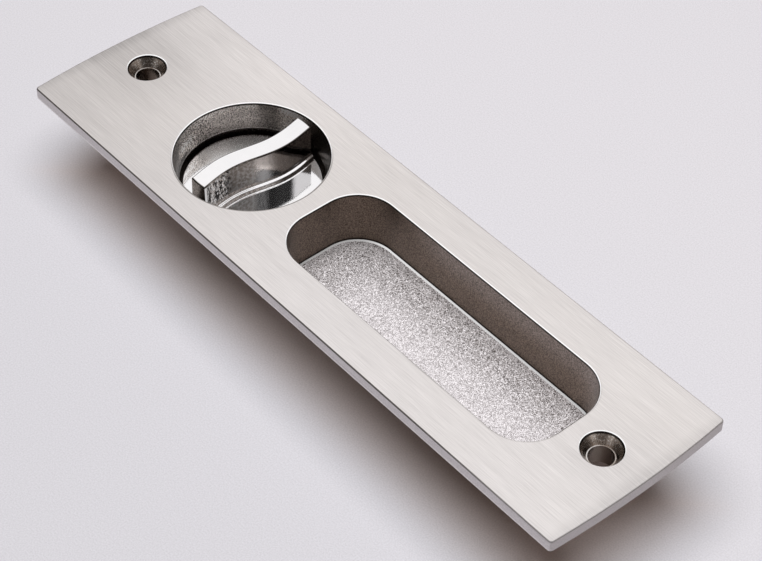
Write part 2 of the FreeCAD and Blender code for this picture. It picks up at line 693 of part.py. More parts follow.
def detent_stops():
    """The two small pins that hold the leaf's ends."""
    pins = []
    top = CASE_MID_Z + LEAF_WIDE / 2
    for side in (-1, 1):
        x = HUB[0] + side * (LEAF_HALF + STOP_R + STOP_GAP)
        y = CASE_REAR_IN_Y + STOP_R + FACE_GAP
        pin = rod(x, y, CASE_FLOOR_Z, top, STOP_R)
        pins.append(pin.fuse(rod(x, y, CASE_LOW_Z, CASE_FLOOR_Z, STOP_TENON_R)))
    return Part.makeCompound(pins)


def case_lug(x0, x1, end_x):
    """A lug turned out behind the edge plate, rounded at its free end."""
    y0 = FOREND_BACK_Y - CASE_SHEET
    body = block(x0, x1, y0, FOREND_BACK_Y, CASE_LOW_Z, COVER_LOW_Z)
    corners = []
    for edge in body.Edges:
        box = edge.BoundBox
        if box.YLength > 1e-6 and box.XLength < 1e-6 and abs(box.Center.x - end_x) < 1e-6:
            corners.append(edge)
    return body.makeFillet(LUG_END_R, corners)


def lock_case():
    """The pressed tray: floor, rear and end walls, and a lug at each end."""
    x0, x1 = CASE_FAR_X, CASE_NEAR_X
    y0, y1 = CASE_REAR_Y, FOREND_BACK_Y
    body = block(x0, x1, y0, y1, CASE_LOW_Z, COVER_LOW_Z)
    outer = []
    for edge in body.Edges:
        box = edge.BoundBox
        at_rear = box.YLength < 1e-6 and abs(box.YMin - y0) < 1e-6
        at_ends = box.XLength < 1e-6
        low = abs(box.ZMax - CASE_LOW_Z) < 1e-6
        upright = box.ZLength > 1e-6
        if (low and (at_rear or at_ends)) or (upright and at_rear):
            outer.append(edge)
    body = body.makeFillet(BEND_R, outer)
    inner_x0, inner_x1 = CASE_FAR_IN_X, CASE_NEAR_IN_X
    room = block(inner_x0, inner_x1, CASE_REAR_IN_Y, y1 + TRIM, CASE_FLOOR_Z, COVER_LOW_Z)
    body = body.cut(room)
    lugs = [
        case_lug(LUG_FAR_X, CASE_FAR_IN_X, LUG_FAR_X),
        case_lug(CASE_NEAR_IN_X, LUG_NEAR_X, LUG_NEAR_X),
    ]
    body = body.fuse(lugs).removeSplitter()
    holes = [(HUB, JOURNAL_R + RUN_GAP), (HOOK, HOOK_TENON_R)]
    holes += [(point, PILLAR_TENON_R) for point in PILLARS]
    for side in (-1, 1):
        x = HUB[0] + side * (LEAF_HALF + STOP_R + STOP_GAP)
        holes.append(((x, CASE_REAR_IN_Y + STOP_R + FACE_GAP), STOP_TENON_R))
    for (x, y), r in holes:
        body = body.cut(rod(x, y, CASE_LOW_Z, CASE_FLOOR_Z, r))
    for x in forend_screw_places():
        body = body.cut(cross_rod(x, y1 - CASE_SHEET, y1, FOREND_SCREW_R))
    for x in forend_hole_places():
        body = body.cut(cross_rod(x, y1 - CASE_SHEET, y1, FOREND_HOLE_R + LUG_HOLE_GAP))
    return body


def case_cover():
    """The flat cover, with ears that reach the posts on the plate's back."""
    z0, z1 = COVER_LOW_Z, BACK_Z
    body = block(CASE_FAR_X, CASE_NEAR_X, CASE_REAR_Y, FOREND_BACK_Y, z0, z1)
    pads = []
    for x, y in POSTS:
        root = CASE_FAR_X if x < TURN_X else CASE_NEAR_X
        pads.append(bar((x, y), (root, y), EAR_R, EAR_R, EAR_R, z0, z1))
    keep = block(LUG_FAR_X, LUG_NEAR_X, CASE_REAR_Y, FOREND_BACK_Y, z0, z1)
    body = body.fuse(pads).common(keep).removeSplitter()
    body = body.cut(rod(HUB[0], HUB[1], z0, z1, JOURNAL_R + RUN_GAP))
    body = body.cut(rod(HOOK[0], HOOK[1], z0, z1, HOOK_TENON_R))
    for x, y in PILLARS:
        body = body.cut(rod(x, y, z0, z1, COVER_SCREW_R + RUN_GAP))
        body = body.cut(sink(x, y, z1, COVER_SCREW_R, COVER_SCREW_HEAD_R))
    for x, y in POSTS:
        body = body.cut(rod(x, y, z0, z1, FIX_SCREW_R + HOLE_GAP))
    return body


def case_pillars():
    """The tapped pillars between the two sheets, riveted into the tray."""
    pillars = []
    for x, y in PILLARS:
        body = rod(x, y, CASE_FLOOR_Z, COVER_LOW_Z, PILLAR_R)
        body = body.fuse(rod(x, y, CASE_LOW_Z, CASE_FLOOR_Z, PILLAR_TENON_R))
        drill_low = BACK_Z - COVER_SCREW_LONG - DRILL_SPARE
        pillars.append(body.cut(rod(x, y, drill_low, COVER_LOW_Z, COVER_SCREW_R)))
    return Part.makeCompound(pillars)


def cover_screws():
    """The countersunk screws that hold the cover on the pillars."""
    screws = []
    for x, y in PILLARS:
        shank = rod(x, y, BACK_Z - COVER_SCREW_LONG, BACK_Z, COVER_SCREW_R)
        head = sink(x, y, BACK_Z, COVER_SCREW_R, COVER_SCREW_HEAD_R)
        slot = slot_cut(x, y, COVER_SCREW_HEAD_R, COVER_SLOT_WIDE, BACK_Z - COVER_SLOT_DEEP, BACK_Z)
        screws.append(shank.fuse(head).removeSplitter().cut(slot))
    return Part.makeCompound(screws)


def fixing_screws():
    """The pan-head screws that fix the case to the plate's posts."""
    screws = []
    for x, y in POSTS:
        shank = rod(x, y, COVER_LOW_Z, COVER_LOW_Z + FIX_LONG, FIX_SCREW_R)
        head = rod(x, y, COVER_LOW_Z - FIX_HEAD, COVER_LOW_Z, FIX_HEAD_R)
        low = COVER_LOW_Z - FIX_HEAD
        head = head.makeFillet(FIX_HEAD_ROUND, level_edges(head, low))
        slot = slot_cut(x, y, FIX_HEAD_R, FIX_SLOT_WIDE, low, low + FIX_SLOT_DEEP)
        screws.append(shank.fuse(head).removeSplitter().cut(slot))
    return Part.makeCompound(screws)


def cross_rod(x, y0, y1, r):
    """A round bar along Y at the edge plate's mid-width."""
    base = FreeCAD.Vector(x, y0, FOREND_MID_Z)
    return Part.makeCylinder(r, y1 - y0, base, FreeCAD.Vector(0, 1, 0))


def cross_sink(x, r_hole, r_head):
    """A countersink that opens at the edge plate's outer face."""
    deep = r_head - r_hole
    base = FreeCAD.Vector(x, BACKSET - deep, FOREND_MID_Z)
    return Part.makeCone(r_hole, r_head, deep, base, FreeCAD.Vector(0, 1, 0))


def forend_screw_places():
    """Where the small screws go into the case's lugs."""
    return (CASE_FAR_X - FOREND_SCREW_X, CASE_NEAR_X + FOREND_SCREW_X)


def forend_hole_places():
    """Where the edge plate is screwed to the door."""
    return (LUG_FAR_X + FOREND_HOLE_INSET, LUG_NEAR_X - FOREND_HOLE_INSET)


def forend():
    """The edge plate: round ends, the hook's slot and two sizes of screw hole."""
    y0, y1 = FOREND_BACK_Y, BACKSET
    half = CASE_THICK / 2
    run = block(LUG_FAR_X + half, LUG_NEAR_X - half, y0, y1, CASE_LOW_Z, BACK_Z)
    ends = [cross_rod(LUG_FAR_X + half, y0, y1, half), cross_rod(LUG_NEAR_X - half, y0, y1, half)]
    body = run.fuse(ends).removeSplitter()
    slot_half = HOOK_THICK / 2 + SLOT_GAP
    slot_reach = math.sqrt(HOOK_R ** 2 - (FOREND_BACK_Y - HOOK[1]) ** 2)
    slot_x0 = HOOK[0] - HOOK_NECK_HIGH - SLOT_END_GAP
    slot_x1 = HOOK[0] + slot_reach + SLOT_END_GAP
    slot = block(slot_x0, slot_x1, y0, y1, CASE_MID_Z - slot_half, CASE_MID_Z + slot_half)
    body = body.cut(slot)
    for x in forend_hole_places():
        body = body.cut(cross_rod(x, y0, y1, FOREND_HOLE_R))
        body = body.cut(cross_sink(x, FOREND_HOLE_R, FOREND_SINK_R))
    for x in forend_screw_places():
        body = body.cut(cross_rod(x, y0, y1, FOREND_SCREW_R))
        body = body.cut(cross_sink(x, FOREND_SCREW_R, FOREND_SCREW_HEAD_R))
    return body


def forend_screws():
    """The small countersunk screws from the edge plate into the lugs."""
    screws = []
    r = FOREND_SCREW_HEAD_R
    low = FOREND_MID_Z - FOREND_SLOT_WIDE / 2
    high = FOREND_MID_Z + FOREND_SLOT_WIDE / 2
    for x in forend_screw_places():
        shank = cross_rod(x, BACKSET - FOREND_SCREW_LONG, BACKSET, FOREND_SCREW_R)
        head = cross_sink(x, FOREND_SCREW_R, FOREND_SCREW_HEAD_R)
        slot = block(x - r, x + r, BACKSET - FOREND_SLOT_DEEP, BACKSET, low, high)
        screws.append(shank.fuse(head).removeSplitter().cut(slot))
    return Part.makeCompound(screws)


PIECES = {
    "face_plate": face_plate,
    "thumb_turn": thumb_turn,
    "turn_bush": turn_bush,
    "spring_washer": spring_washer,
    "turn_washer": turn_washer,
    "turn_clip": turn_clip,
    "spindle": spindle,
    "hub": hub,
    "drive_link": drive_link,
    "hook_bolt": hook_bolt,
    "hook_pivot": hook_pivot,
    "hook_spacers": hook_spacers,
    "detent_spring": detent_spring,
    "detent_stops": detent_stops,
    "lock_case": lock_case,
    "case_cover": case_cover,
    "case_pillars": case_pillars,
    "cover_screws": cover_screws,
    "fixing_screws": fixing_screws,
    "forend": forend,
    "forend_screws": forend_screws,
}


def main():
    """Build every piece and write one file for each."""
    os.makedirs("parts", exist_ok=True)
    shapes = {name: make() for name, make in PIECES.items()}
    shapes["hub_crank_pin"] = crank_pin(HUB)
    shapes["hook_crank_pin"] = crank_pin(HOOK)
    for name, shape in shapes.items():
        valid = shape.isValid()
        box = shape.BoundBox
        print("%-16s solids %d valid %s volume %9.1f  z %.2f to %.2f" % (
            name, len(shape.Solids), valid, shape.Volume, box.ZMin, box.ZMax))
        shape.exportStep("parts/%s.step" % name)


main()
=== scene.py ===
import json
import math
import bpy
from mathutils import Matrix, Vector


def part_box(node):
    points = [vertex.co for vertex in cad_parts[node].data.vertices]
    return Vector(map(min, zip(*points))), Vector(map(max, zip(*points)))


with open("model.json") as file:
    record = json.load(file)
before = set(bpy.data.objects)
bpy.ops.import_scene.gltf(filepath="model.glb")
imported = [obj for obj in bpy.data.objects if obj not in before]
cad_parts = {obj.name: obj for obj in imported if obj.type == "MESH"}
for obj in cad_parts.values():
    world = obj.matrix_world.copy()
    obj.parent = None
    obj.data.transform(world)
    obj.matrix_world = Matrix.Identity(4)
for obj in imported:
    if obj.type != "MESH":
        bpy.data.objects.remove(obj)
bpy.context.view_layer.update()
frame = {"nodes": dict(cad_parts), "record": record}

from types import SimpleNamespace

import bpy
from mathutils import Matrix, Vector

# Sliding door lock: a satin trim plate with a grained pull recess, a polished
# turn knob in a round cup, and a plated hook-bolt case behind the plate.
# Lengths are metres, in the part's own frame: X along the plate, Z out of the door.

nodes = frame["nodes"]
MM = 0.001

# Places taken from the frame
PLATE_LOW, PLATE_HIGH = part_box("face_plate")
TURN_LOW, TURN_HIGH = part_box("thumb_turn")
CASE_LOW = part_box("lock_case")[0]
PIVOT_LOW, PIVOT_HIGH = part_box("hook_pivot")
FACE_Z = PLATE_HIGH.z
FLOOR_Z = CASE_LOW.z
TURN_X = (TURN_LOW.x + TURN_HIGH.x) / 2
TURN_AXIS = (TURN_X, 0, 0)
HOOK_AXIS = ((PIVOT_LOW.x + PIVOT_HIGH.x) / 2, (PIVOT_LOW.y + PIVOT_HIGH.y) / 2, 0)
GRIP_TOP_Z = TURN_HIGH.z

# Places on the plate, as the record and the photograph give them
SCREW_HALF = frame["record"]["mounts"][0]["dims"]["spacing_x_mm"] / 2 * MM
PULL_X = 24.8 * MM
PULL_HALF_LONG = 37.2 * MM
PULL_HALF_WIDE = 12.55 * MM
PULL_CORNER_R = 9.0 * MM
PULL_FLOOR_Z = FACE_Z - 13.0 * MM
BEVEL = 0.25 * MM
BEVEL_TOP_Z = FACE_Z - BEVEL * 0.6
BEVEL_MIDDLE_Z = FACE_Z - BEVEL * 0.75
BEVEL_FOOT_Z = FACE_Z - BEVEL * 0.9
CUP_FACE_R = 16.5 * MM
SINK_R = 4.2 * MM
DISH_TOP_Z = FACE_Z - 7.5 * MM
GRIP_SWAY = 0.87 * MM
GRIP_HALF_WAVE = 12.8 * MM
GRIP_HALF_THICK = 1.9 * MM
GRIP_END_R = 14.25 * MM
LIP_Z = FACE_Z - 6.1 * MM
MASK_REACH = 0.1 * MM
RIM_REACH = BEVEL * 1.2

# The camera that took the photograph, fitted to the plate's holes and edges
CAMERA_PLACE = Vector((238.45, -206.67, 314.16)) * MM
CAMERA_RIGHT = Vector((0.65263, 0.75744, 0.01899))
CAMERA_DOWN = Vector((0.55017, -0.45651, -0.69922))
FOCAL_PIXELS = 2213.4
PICTURE_WIDE = 762
SENSOR_WIDE = 36.0

# Light: the lamp, the room that the metal mirrors, and the dim light from all round
LAMP_TILT = Vector((0.055, -0.095, 1.0))
LAMP_FAR = 2.4
LAMP_WIDE = 2.3
LAMP_WATTS = 69.0
LAMP_COLOUR = (1.0, 0.99, 0.985)
SKY = (1.08, 1.075, 1.08, 1)
HORIZON = (0.36, 0.335, 0.32, 1)
SKY_RISE = (0.30, 0.78)
FILL = (0.085, 0.062, 0.045, 1)

# Cards in the room: the way to each, the cosines at its edge and at its full middle,
# and for a dark card the light that it leaves over
DARK_CARDS = [
    ((0.596, 0.402, 0.695), 0.958, 0.983, 0.03),
    ((0.66, -0.58, 0.48), 0.50, 0.80, 0.10),
    ((-0.52, -0.74, 0.42), 0.86, 0.96, 0.10),
    ((0.32, 0.65, 0.69), 0.955, 0.990, 0.70),
]
DARK_CARDS_HANG = (0.22, 0.36)
BRIGHT_CARDS = [
    ((0.10, -0.956, 0.276), 0.955, 0.985),
    ((0.961, 0.017, 0.276), 0.955, 0.985),
]
BRIGHT_CARD_LIGHT = 0.8

# Table
TABLE_WIDE = 6.0
TABLE_NEAR = (0.662, 0.665, 0.714, 1)
TABLE_BEYOND = (0.735, 0.731, 0.780, 1)
# Painted shadow tint: the table warmer under the lock
TABLE_SHADOW_TINT = (1.09, 0.93, 0.81, 1)
FIBRE_DEPTH = 0.36
WHITE = (1, 1, 1, 1)

# Colours of the trim casting, in pairs where a grain runs from one to the other
CAST = (0.40, 0.39, 0.38, 1), (0.50, 0.49, 0.48, 1)
# Painted light and shade on the plate's sides: darker than the face, a lighter foot, a darker near
# end and a dark top line
PLATE_SIDE_SHADED = (0.56, 0.53, 0.53, 1), (0.64, 0.61, 0.61, 1)
SIDE_FOOT_HIGHLIGHT = (0.78, 0.75, 0.74, 1)
SIDE_END_SHADE = (0.475, 0.445, 0.44, 1)
SIDE_SHADE_LINE = (0.15, 0.132, 0.125, 1)
SATIN = (0.79, 0.745, 0.715, 1), (0.84, 0.795, 0.765, 1)
SATIN_DRIFT = (0.80, 0.785, 0.81, 1)
# Painted shade: the face darker toward its ends
SATIN_END_SHADE = (0.30, 0.285, 0.28, 1)
# Painted shade: a dark line along the rims on the camera's side
RIM_SHADE_LINE = (0.30, 0.28, 0.265, 1)
# Painted shade and light in the pull: its wall darker than the face, paler high up and at the near
# end
PULL_WALL_SHADED = (0.205, 0.158, 0.125, 1), (0.25, 0.195, 0.16, 1)
PULL_WALL_LIT = (0.35, 0.305, 0.28, 1)
# Painted shade: a dark line at the foot of the pull's wall
PULL_FOOT_SHADE_LINE = (0.06, 0.048, 0.04, 1)
# Painted shade: the floor's pits darker toward the pull's back and left end
FLOOR_PITS_AND_SHADE = (0.66, 0.625, 0.645, 1), (0.10, 0.078, 0.07, 1)
FLOOR_GLINT = (1.0, 0.965, 0.99, 1)
# Painted highlight: the white line along the pull's cove, dimmer at its left end
COVE_HIGHLIGHT = (0.50, 0.49, 0.485, 1), (1.0, 0.995, 0.995, 1)
# Painted shade: the cup's wall darker than the face
CUP_WALL_SHADED = (0.33, 0.29, 0.265, 1), (0.50, 0.47, 0.445, 1)
# Painted shade: the dark side of the cup's wall
CUP_SIDE_SHADE = (0.12, 0.10, 0.088, 1)
# Painted highlight: a light line on the cup's lip
CUP_LIP_HIGHLIGHT = (0.72, 0.68, 0.65, 1)
# Painted shade: the undercut below the cup's lip
CUP_UNDER_LIP_SHADE = (0.12, 0.10, 0.09, 1)
SINK = (0.46, 0.39, 0.34, 1), (0.84, 0.80, 0.77, 1)
# Painted shade: down the screw holes' bores
SINK_TUBE_SHADE = (0.16, 0.13, 0.108, 1)
# Painted highlight: the ledge in the screw holes, bright on their left and back arcs
SINK_LEDGE_HIGHLIGHT = (0.96, 0.95, 0.94, 1)
# Painted shade: a dark line at the top of the openings' walls
HAIRLINE_SHADE = (0.03, 0.025, 0.021, 1)
# Painted highlight: the bright rims of the openings
BEVEL_HIGHLIGHT = (0.985, 0.98, 0.98, 1)
# A dark mark on the pull's rim at its near end
RIM_DARK_MARK = (0.10, 0.085, 0.078, 1)

# Colours of the knob
POLISH = (0.91, 0.90, 0.905, 1), (0.93, 0.92, 0.925, 1)
# Painted shade: a dark line along the grip's top edge
GRIP_EDGE_SHADE = (0.10, 0.088, 0.08, 1)
# Painted reflections: dark mottle and strokes on the grip's near flank
FLANK_REFLECTION_MOTTLE = (0.50, 0.45, 0.415, 1)
FLANK_REFLECTION_STROKES = (0.035, 0.03, 0.028, 1)
SHANK = (0.45, 0.44, 0.43, 1), (0.62, 0.61, 0.60, 1)

# Colours of what lies behind the plate
ZINC = (0.56, 0.58, 0.62, 1), (0.70, 0.70, 0.66, 1)
ZINC_SPECK = (0.42, 0.43, 0.45, 1)
ZINC_ROLLED = (0.76, 0.77, 0.79, 1)
STAINLESS = (0.60, 0.59, 0.58, 1), (0.80, 0.79, 0.775, 1)
STAINLESS_CLOUD = (0.66, 0.65, 0.64, 1)
OILED = (0.34, 0.33, 0.31, 1)
HOOK_STEEL = (0.44, 0.44, 0.45, 1), (0.66, 0.66, 0.67, 1)
HUB_STEEL = (0.42, 0.41, 0.39, 1), (0.60, 0.59, 0.56, 1)
SPRING_STEEL = (0.16, 0.16, 0.19, 1), (0.34, 0.34, 0.38, 1)
SCREW_ZINC = (0.55, 0.56, 0.58, 1), (0.82, 0.83, 0.85, 1)
BRASS = (0.62, 0.47, 0.24, 1), (0.86, 0.70, 0.40, 1)
PIN_STEEL = (0.50, 0.50, 0.51, 1), (0.78, 0.78, 0.79, 1)
PLASTIC = (0.80, 0.79, 0.75, 1), (0.87, 0.86, 0.83, 1)
PLASTIC_FLOW = (0.70, 0.69, 0.66, 1)

# The first and second value's socket and the result's socket of a mixing node
MIX_SOCKETS = {"FLOAT": (2, 3, 0), "VECTOR": (4, 5, 1), "RGBA": (6, 7, 2)}


class Wiring:
    """Short calls that add and join the nodes of one shader tree."""

    def __init__(self, tree):
        self.tree = tree

    def feed(self, socket, value):
        """Joins a socket to another, or sets it to a plain value."""
        if isinstance(value, bpy.types.NodeSocket):
            self.tree.links.new(value, socket)
        else:
            socket.default_value = value

    def node(self, kind, feeds=None, **settings):
        """A new node with its settings and its named or numbered inputs."""
        made = self.tree.nodes.new(kind)
        for name, value in settings.items():
            setattr(made, name, value)
        for name, value in (feeds or {}).items():
            self.feed(made.inputs[name], value)
        return made

    def math(self, operation, *values, clamp=False):
        """One step of arithmetic on numbers."""
        made = self.node("ShaderNodeMath", operation=operation, use_clamp=clamp)
        for socket, value in zip(made.inputs, values):
            self.feed(socket, value)
        return made.outputs[0]

    def times(self, product, *factors):
        """The product of some numbers, such as where several masks overlap."""
        for factor in factors:
            product = self.math("MULTIPLY", product, factor)
        return product

    def total(self, amount, *others):
        """The sum of some numbers."""
        for other in others:
            amount = self.math("ADD", amount, other)
        return amount

    def most(self, largest, *others):
        """The largest of some numbers, such as where any of several masks lies."""
        for other in others:
            largest = self.math("MAXIMUM", largest, other)
        return largest

    def rest(self, mask, clamp=False):
        """What a mask leaves over."""
        return self.math("SUBTRACT", 1.0, mask, clamp=clamp)

    def size(self, value):
        """A number without its sign."""
        return self.math("ABSOLUTE", value)

    def vector(self, operation, *values):
        """One step of arithmetic on vectors."""
        made = self.node("ShaderNodeVectorMath", operation=operation)
        sockets = [made.inputs[0], made.inputs["Scale"]] if operation == "SCALE" else made.inputs
        for socket, value in zip(sockets, values):
            self.feed(socket, value)
        name = "Value" if operation in ("DOT_PRODUCT", "LENGTH", "DISTANCE") else "Vector"
        return made.outputs[name]

    def parts(self, vector):
        """The three parts of a vector."""
        return self.node("ShaderNodeSeparateXYZ", {"Vector": vector}).outputs

    def flat(self, local):
        """A vector seen from above, without its height."""
        return self.vector("MULTIPLY", local, (1, 1, 0))

    def ramp(self, value, low, high, at_low=0.0, at_high=1.0):
        """A smooth step from one number to another."""
        feeds = {"Value": value, "From Min": low, "From Max": high, "To Min": at_low,
                 "To Max": at_high}
        made = self.node("ShaderNodeMapRange", feeds, interpolation_type="SMOOTHSTEP")
        return made.outputs["Result"]

    def mix(self, mask, a, b, kind="FLOAT"):
        """Value a where the mask is 0 and value b where it is 1."""
        first, second, result = MIX_SOCKETS[kind]
        made = self.node("ShaderNodeMix", {0: mask, first: a, second: b}, data_type=kind)
        return made.outputs[result]

    def colour_mix(self, mask, a, b):
        """Colour a where the mask is 0 and colour b where it is 1."""
        return self.mix(mask, a, b, "RGBA")

    def layers(self, under, *masked, kind="RGBA"):
        """Values laid over another one after the other, each where its mask is 1."""
        for mask, over in masked:
            under = self.mix(mask, under, over, kind)
        return under

    def noise(self, place, scale, detail=2.0, roughness=0.5):
        """Smooth noise from 0 to 1."""
        feeds = {"Vector": place, "Scale": scale, "Detail": detail, "Roughness": roughness}
        return self.node("ShaderNodeTexNoise", feeds).outputs["Fac"]

    def stretched_noise(self, place, stretch, *settings):
        """Smooth noise with a grain of its own along each direction."""
        return self.noise(self.vector("MULTIPLY", place, stretch), *settings)

    def bump(self, height, distance, normal=None):
        """A normal tilted by a height."""
        feeds = {"Height": height, "Distance": distance, "Strength": 1.0}
        if normal is not None:
            feeds["Normal"] = normal
        return self.node("ShaderNodeBump", feeds).outputs["Normal"]

    def group(self, name, **feeds):
        """A shared effect, placed with its own values."""
        made = self.node("ShaderNodeGroup", node_tree=bpy.data.node_groups[name])
        for socket, value in feeds.items():
            self.feed(made.inputs[socket.replace("_", " ")], value)
        return made.outputs


class Finish(Wiring):
    """A new material: its shader, and the place and the normal of each point of the piece."""

    def __init__(self, name):
        self.material = bpy.data.materials.new(name)
        self.material.use_nodes = True
        self.material.node_tree.nodes.clear()
        super().__init__(self.material.node_tree)
        out = self.node("ShaderNodeOutputMaterial")
        shader = self.node("ShaderNodeBsdfPrincipled")
        self.feed(out.inputs["Surface"], shader.outputs["BSDF"])
        self.shader = shader.inputs
        where = self.node("ShaderNodeTexCoord").outputs
        self.place, self.normal = where["Object"], where["Normal"]

    def set(self, colour, rough, metal=1.0):
        """Gives the shader its colour, roughness and metal."""
        self.feed(self.shader["Base Color"], colour)
        self.feed(self.shader["Roughness"], rough)
        self.feed(self.shader["Metallic"], metal)

    def emboss(self, relief, height, normal=None):
        """Gives the shader the relief of the surface."""
        self.feed(self.shader["Normal"], self.bump(relief, height, normal))

    def brushing(self, width, length, place=None):
        """Fine lines along X, or along another way where the place is turned first."""
        place = self.place if place is None else place
        return self.group("brushing", Position=place, Line_Width=width, Line_Length=length)

    def rings(self, axis, pitch):
        """Rings round an upright axis."""
        return self.group("turning", Position=self.place, Centre=axis, Pitch=pitch)["Rings"]

    def clouding(self, size):
        """Soft patches and small specks."""
        return self.group("clouding", Position=self.place, Patch_Size=size)

    def in_box(self, low, high):
        """1 inside an upright box."""
        return self.group("box_mask", Position=self.place, Low=low, High=high)["Mask"]

    def in_round(self, x, radius):
        """1 round an upright axis on the plate's middle line."""
        return self.group("round_mask", Position=self.place, Centre=(x, 0, 0), Radius=radius,
                          Fade=MASK_REACH)["Mask"]

    def from_turn(self):
        """The distance from the knob's axis."""
        return self.group("round_mask", Position=self.place, Centre=TURN_AXIS, Radius=1.0,
                          Fade=1.0)["Distance"]

    def toward(self, x, direction, low, high):
        """How far a place lies to one side of an upright axis on the middle line."""
        local = self.flat(self.vector("SUBTRACT", self.place, (x, 0, 0)))
        way = self.vector("NORMALIZE", local)
        return self.ramp(self.vector("DOT_PRODUCT", way, direction), low, high)


SOCKETS = {"number": "NodeSocketFloat", "vector": "NodeSocketVector"}


def new_group(name, takes, gives):
    """An empty shared effect with named inputs and outputs."""
    tree = bpy.data.node_groups.new(name, "ShaderNodeTree")
    for sockets, in_out in ((takes, "INPUT"), (gives, "OUTPUT")):
        for socket, kind in sockets.items():
            tree.interface.new_socket(name=socket, in_out=in_out, socket_type=SOCKETS[kind])
    wiring = Wiring(tree)
    entry = wiring.node("NodeGroupInput").outputs
    leave = wiring.node("NodeGroupOutput").inputs
    return wiring, entry, leave


def make_box_mask():
    """1 inside an upright box between two corners, and 0 outside it."""
    w, entry, leave = new_group(
        "box_mask", {"Position": "vector", "Low": "vector", "High": "vector"},
        {"Mask": "number"})
    above = w.vector("SUBTRACT", entry["Position"], entry["Low"])
    below = w.vector("SUBTRACT", entry["High"], entry["Position"])
    x, y, z = w.parts(w.vector("MINIMUM", above, below))
    nearest = w.math("MINIMUM", w.math("MINIMUM", x, y), z)
    w.feed(leave["Mask"], w.math("GREATER_THAN", nearest, 0.0))


def make_round_mask():
    """1 near an upright axis, fading to 0 at its radius, and the distance from the axis."""
    w, entry, leave = new_group(
        "round_mask", {"Position": "vector", "Centre": "vector", "Radius": "number",
                       "Fade": "number"},
        {"Mask": "number", "Distance": "number"})
    away = w.vector("LENGTH", w.flat(w.vector("SUBTRACT", entry["Position"], entry["Centre"])))
    inside = w.math("SUBTRACT", entry["Radius"], away)
    w.feed(leave["Mask"], w.math("DIVIDE", inside, entry["Fade"], clamp=True))
    w.feed(leave["Distance"], away)


def make_brushing():
    """Fine lines along X, of uneven length and depth, and a slow drift of tone."""
    w, entry, leave = new_group(
        "brushing", {"Position": "vector", "Line Width": "number", "Line Length": "number"},
        {"Lines": "number", "Drift": "number"})
    broad_stretch, drift_stretch = (0.35, 0.12, 0.12), (11, 26, 26)
    across = w.math("DIVIDE", 1.0, entry["Line Width"])
    along = w.math("DIVIDE", 1.0, entry["Line Length"])
    stretch = w.node("ShaderNodeCombineXYZ", {"X": along, "Y": across, "Z": across}).outputs[0]
    place = w.vector("MULTIPLY", entry["Position"], stretch)
    fine = w.noise(place, 1.0, 3.0, 0.7)
    broad = w.stretched_noise(place, broad_stretch, 1.0, 2.0)
    both = w.total(w.times(fine, 0.7), w.times(broad, 0.3))
    w.feed(leave["Lines"], w.ramp(both, 0.3, 0.7))
    w.feed(leave["Drift"], w.stretched_noise(entry["Position"], drift_stretch, 1.0, 1.0))


def make_turning():
    """Rings round an upright axis, as a lathe or a wheel leaves them."""
    w, entry, leave = new_group(
        "turning", {"Position": "vector", "Centre": "vector", "Pitch": "number"},
        {"Rings": "number"})
    change_round = 0.8
    local = w.vector("SUBTRACT", entry["Position"], entry["Centre"])
    x, y, z = w.parts(local)
    away = w.vector("LENGTH", w.flat(local))
    count = w.math("DIVIDE", 1.0, entry["Pitch"])
    place = w.node("ShaderNodeCombineXYZ", {
        "X": w.times(away, count), "Y": w.times(z, count),
        "Z": w.times(w.math("ARCTAN2", y, x), change_round)})
    w.feed(leave["Rings"], w.noise(place.outputs[0], 1.0, 2.0, 0.6))


def make_cast_grain():
    """The glittering grain of a cast and plated floor: tilted facets and their glint."""
    w, entry, leave = new_group(
        "cast_grain", {"Position": "vector", "Grain Size": "number", "Tilt": "number",
                       "Normal": "vector"},
        {"Normal": "vector", "Glint": "number"})
    middle, wander = (0.5, 0.5, 0.5), 0.7
    count = w.math("DIVIDE", 1.0, entry["Grain Size"])
    bend = w.node("ShaderNodeTexNoise", {"Vector": entry["Position"], "Scale": count})
    bend = w.vector("SCALE", w.vector("SUBTRACT", bend.outputs["Color"], middle), wander)
    place = w.vector("ADD", w.vector("SCALE", entry["Position"], count), bend)
    cells = w.node("ShaderNodeTexVoronoi", {"Vector": place, "Scale": 1.0}).outputs["Color"]
    lean = w.vector("MULTIPLY", w.vector("SUBTRACT", cells, middle), (2, 2, 0))
    lean = w.vector("SCALE", lean, entry["Tilt"])
    w.feed(leave["Normal"], w.vector("NORMALIZE", w.vector("ADD", entry["Normal"], lean)))
    w.feed(leave["Glint"], w.node("ShaderNodeSeparateColor", {"Color": cells}).outputs[2])


def make_clouding():
    """Soft cloudy patches and small specks, as plating and handling leave them."""
    w, entry, leave = new_group(
        "clouding", {"Position": "vector", "Patch Size": "number"},
        {"Cloud": "number", "Speck": "number"})
    specks_per_patch = 22.0
    count = w.math("DIVIDE", 1.0, entry["Patch Size"])
    w.feed(leave["Cloud"], w.ramp(w.noise(entry["Position"], count, 3.0), 0.3, 0.7))
    speck = w.noise(entry["Position"], w.times(count, specks_per_patch), 2.0, 0.6)
    w.feed(leave["Speck"], w.ramp(speck, 0.45, 0.75))


def make_groups():
    """Every shared effect, once."""
    make_box_mask()
    make_round_mask()
    make_brushing()
    make_turning()
    make_cast_grain()
    make_clouding()


def below(depth):
    """The height that lies some millimetres below the face."""
    return FACE_Z - depth * MM


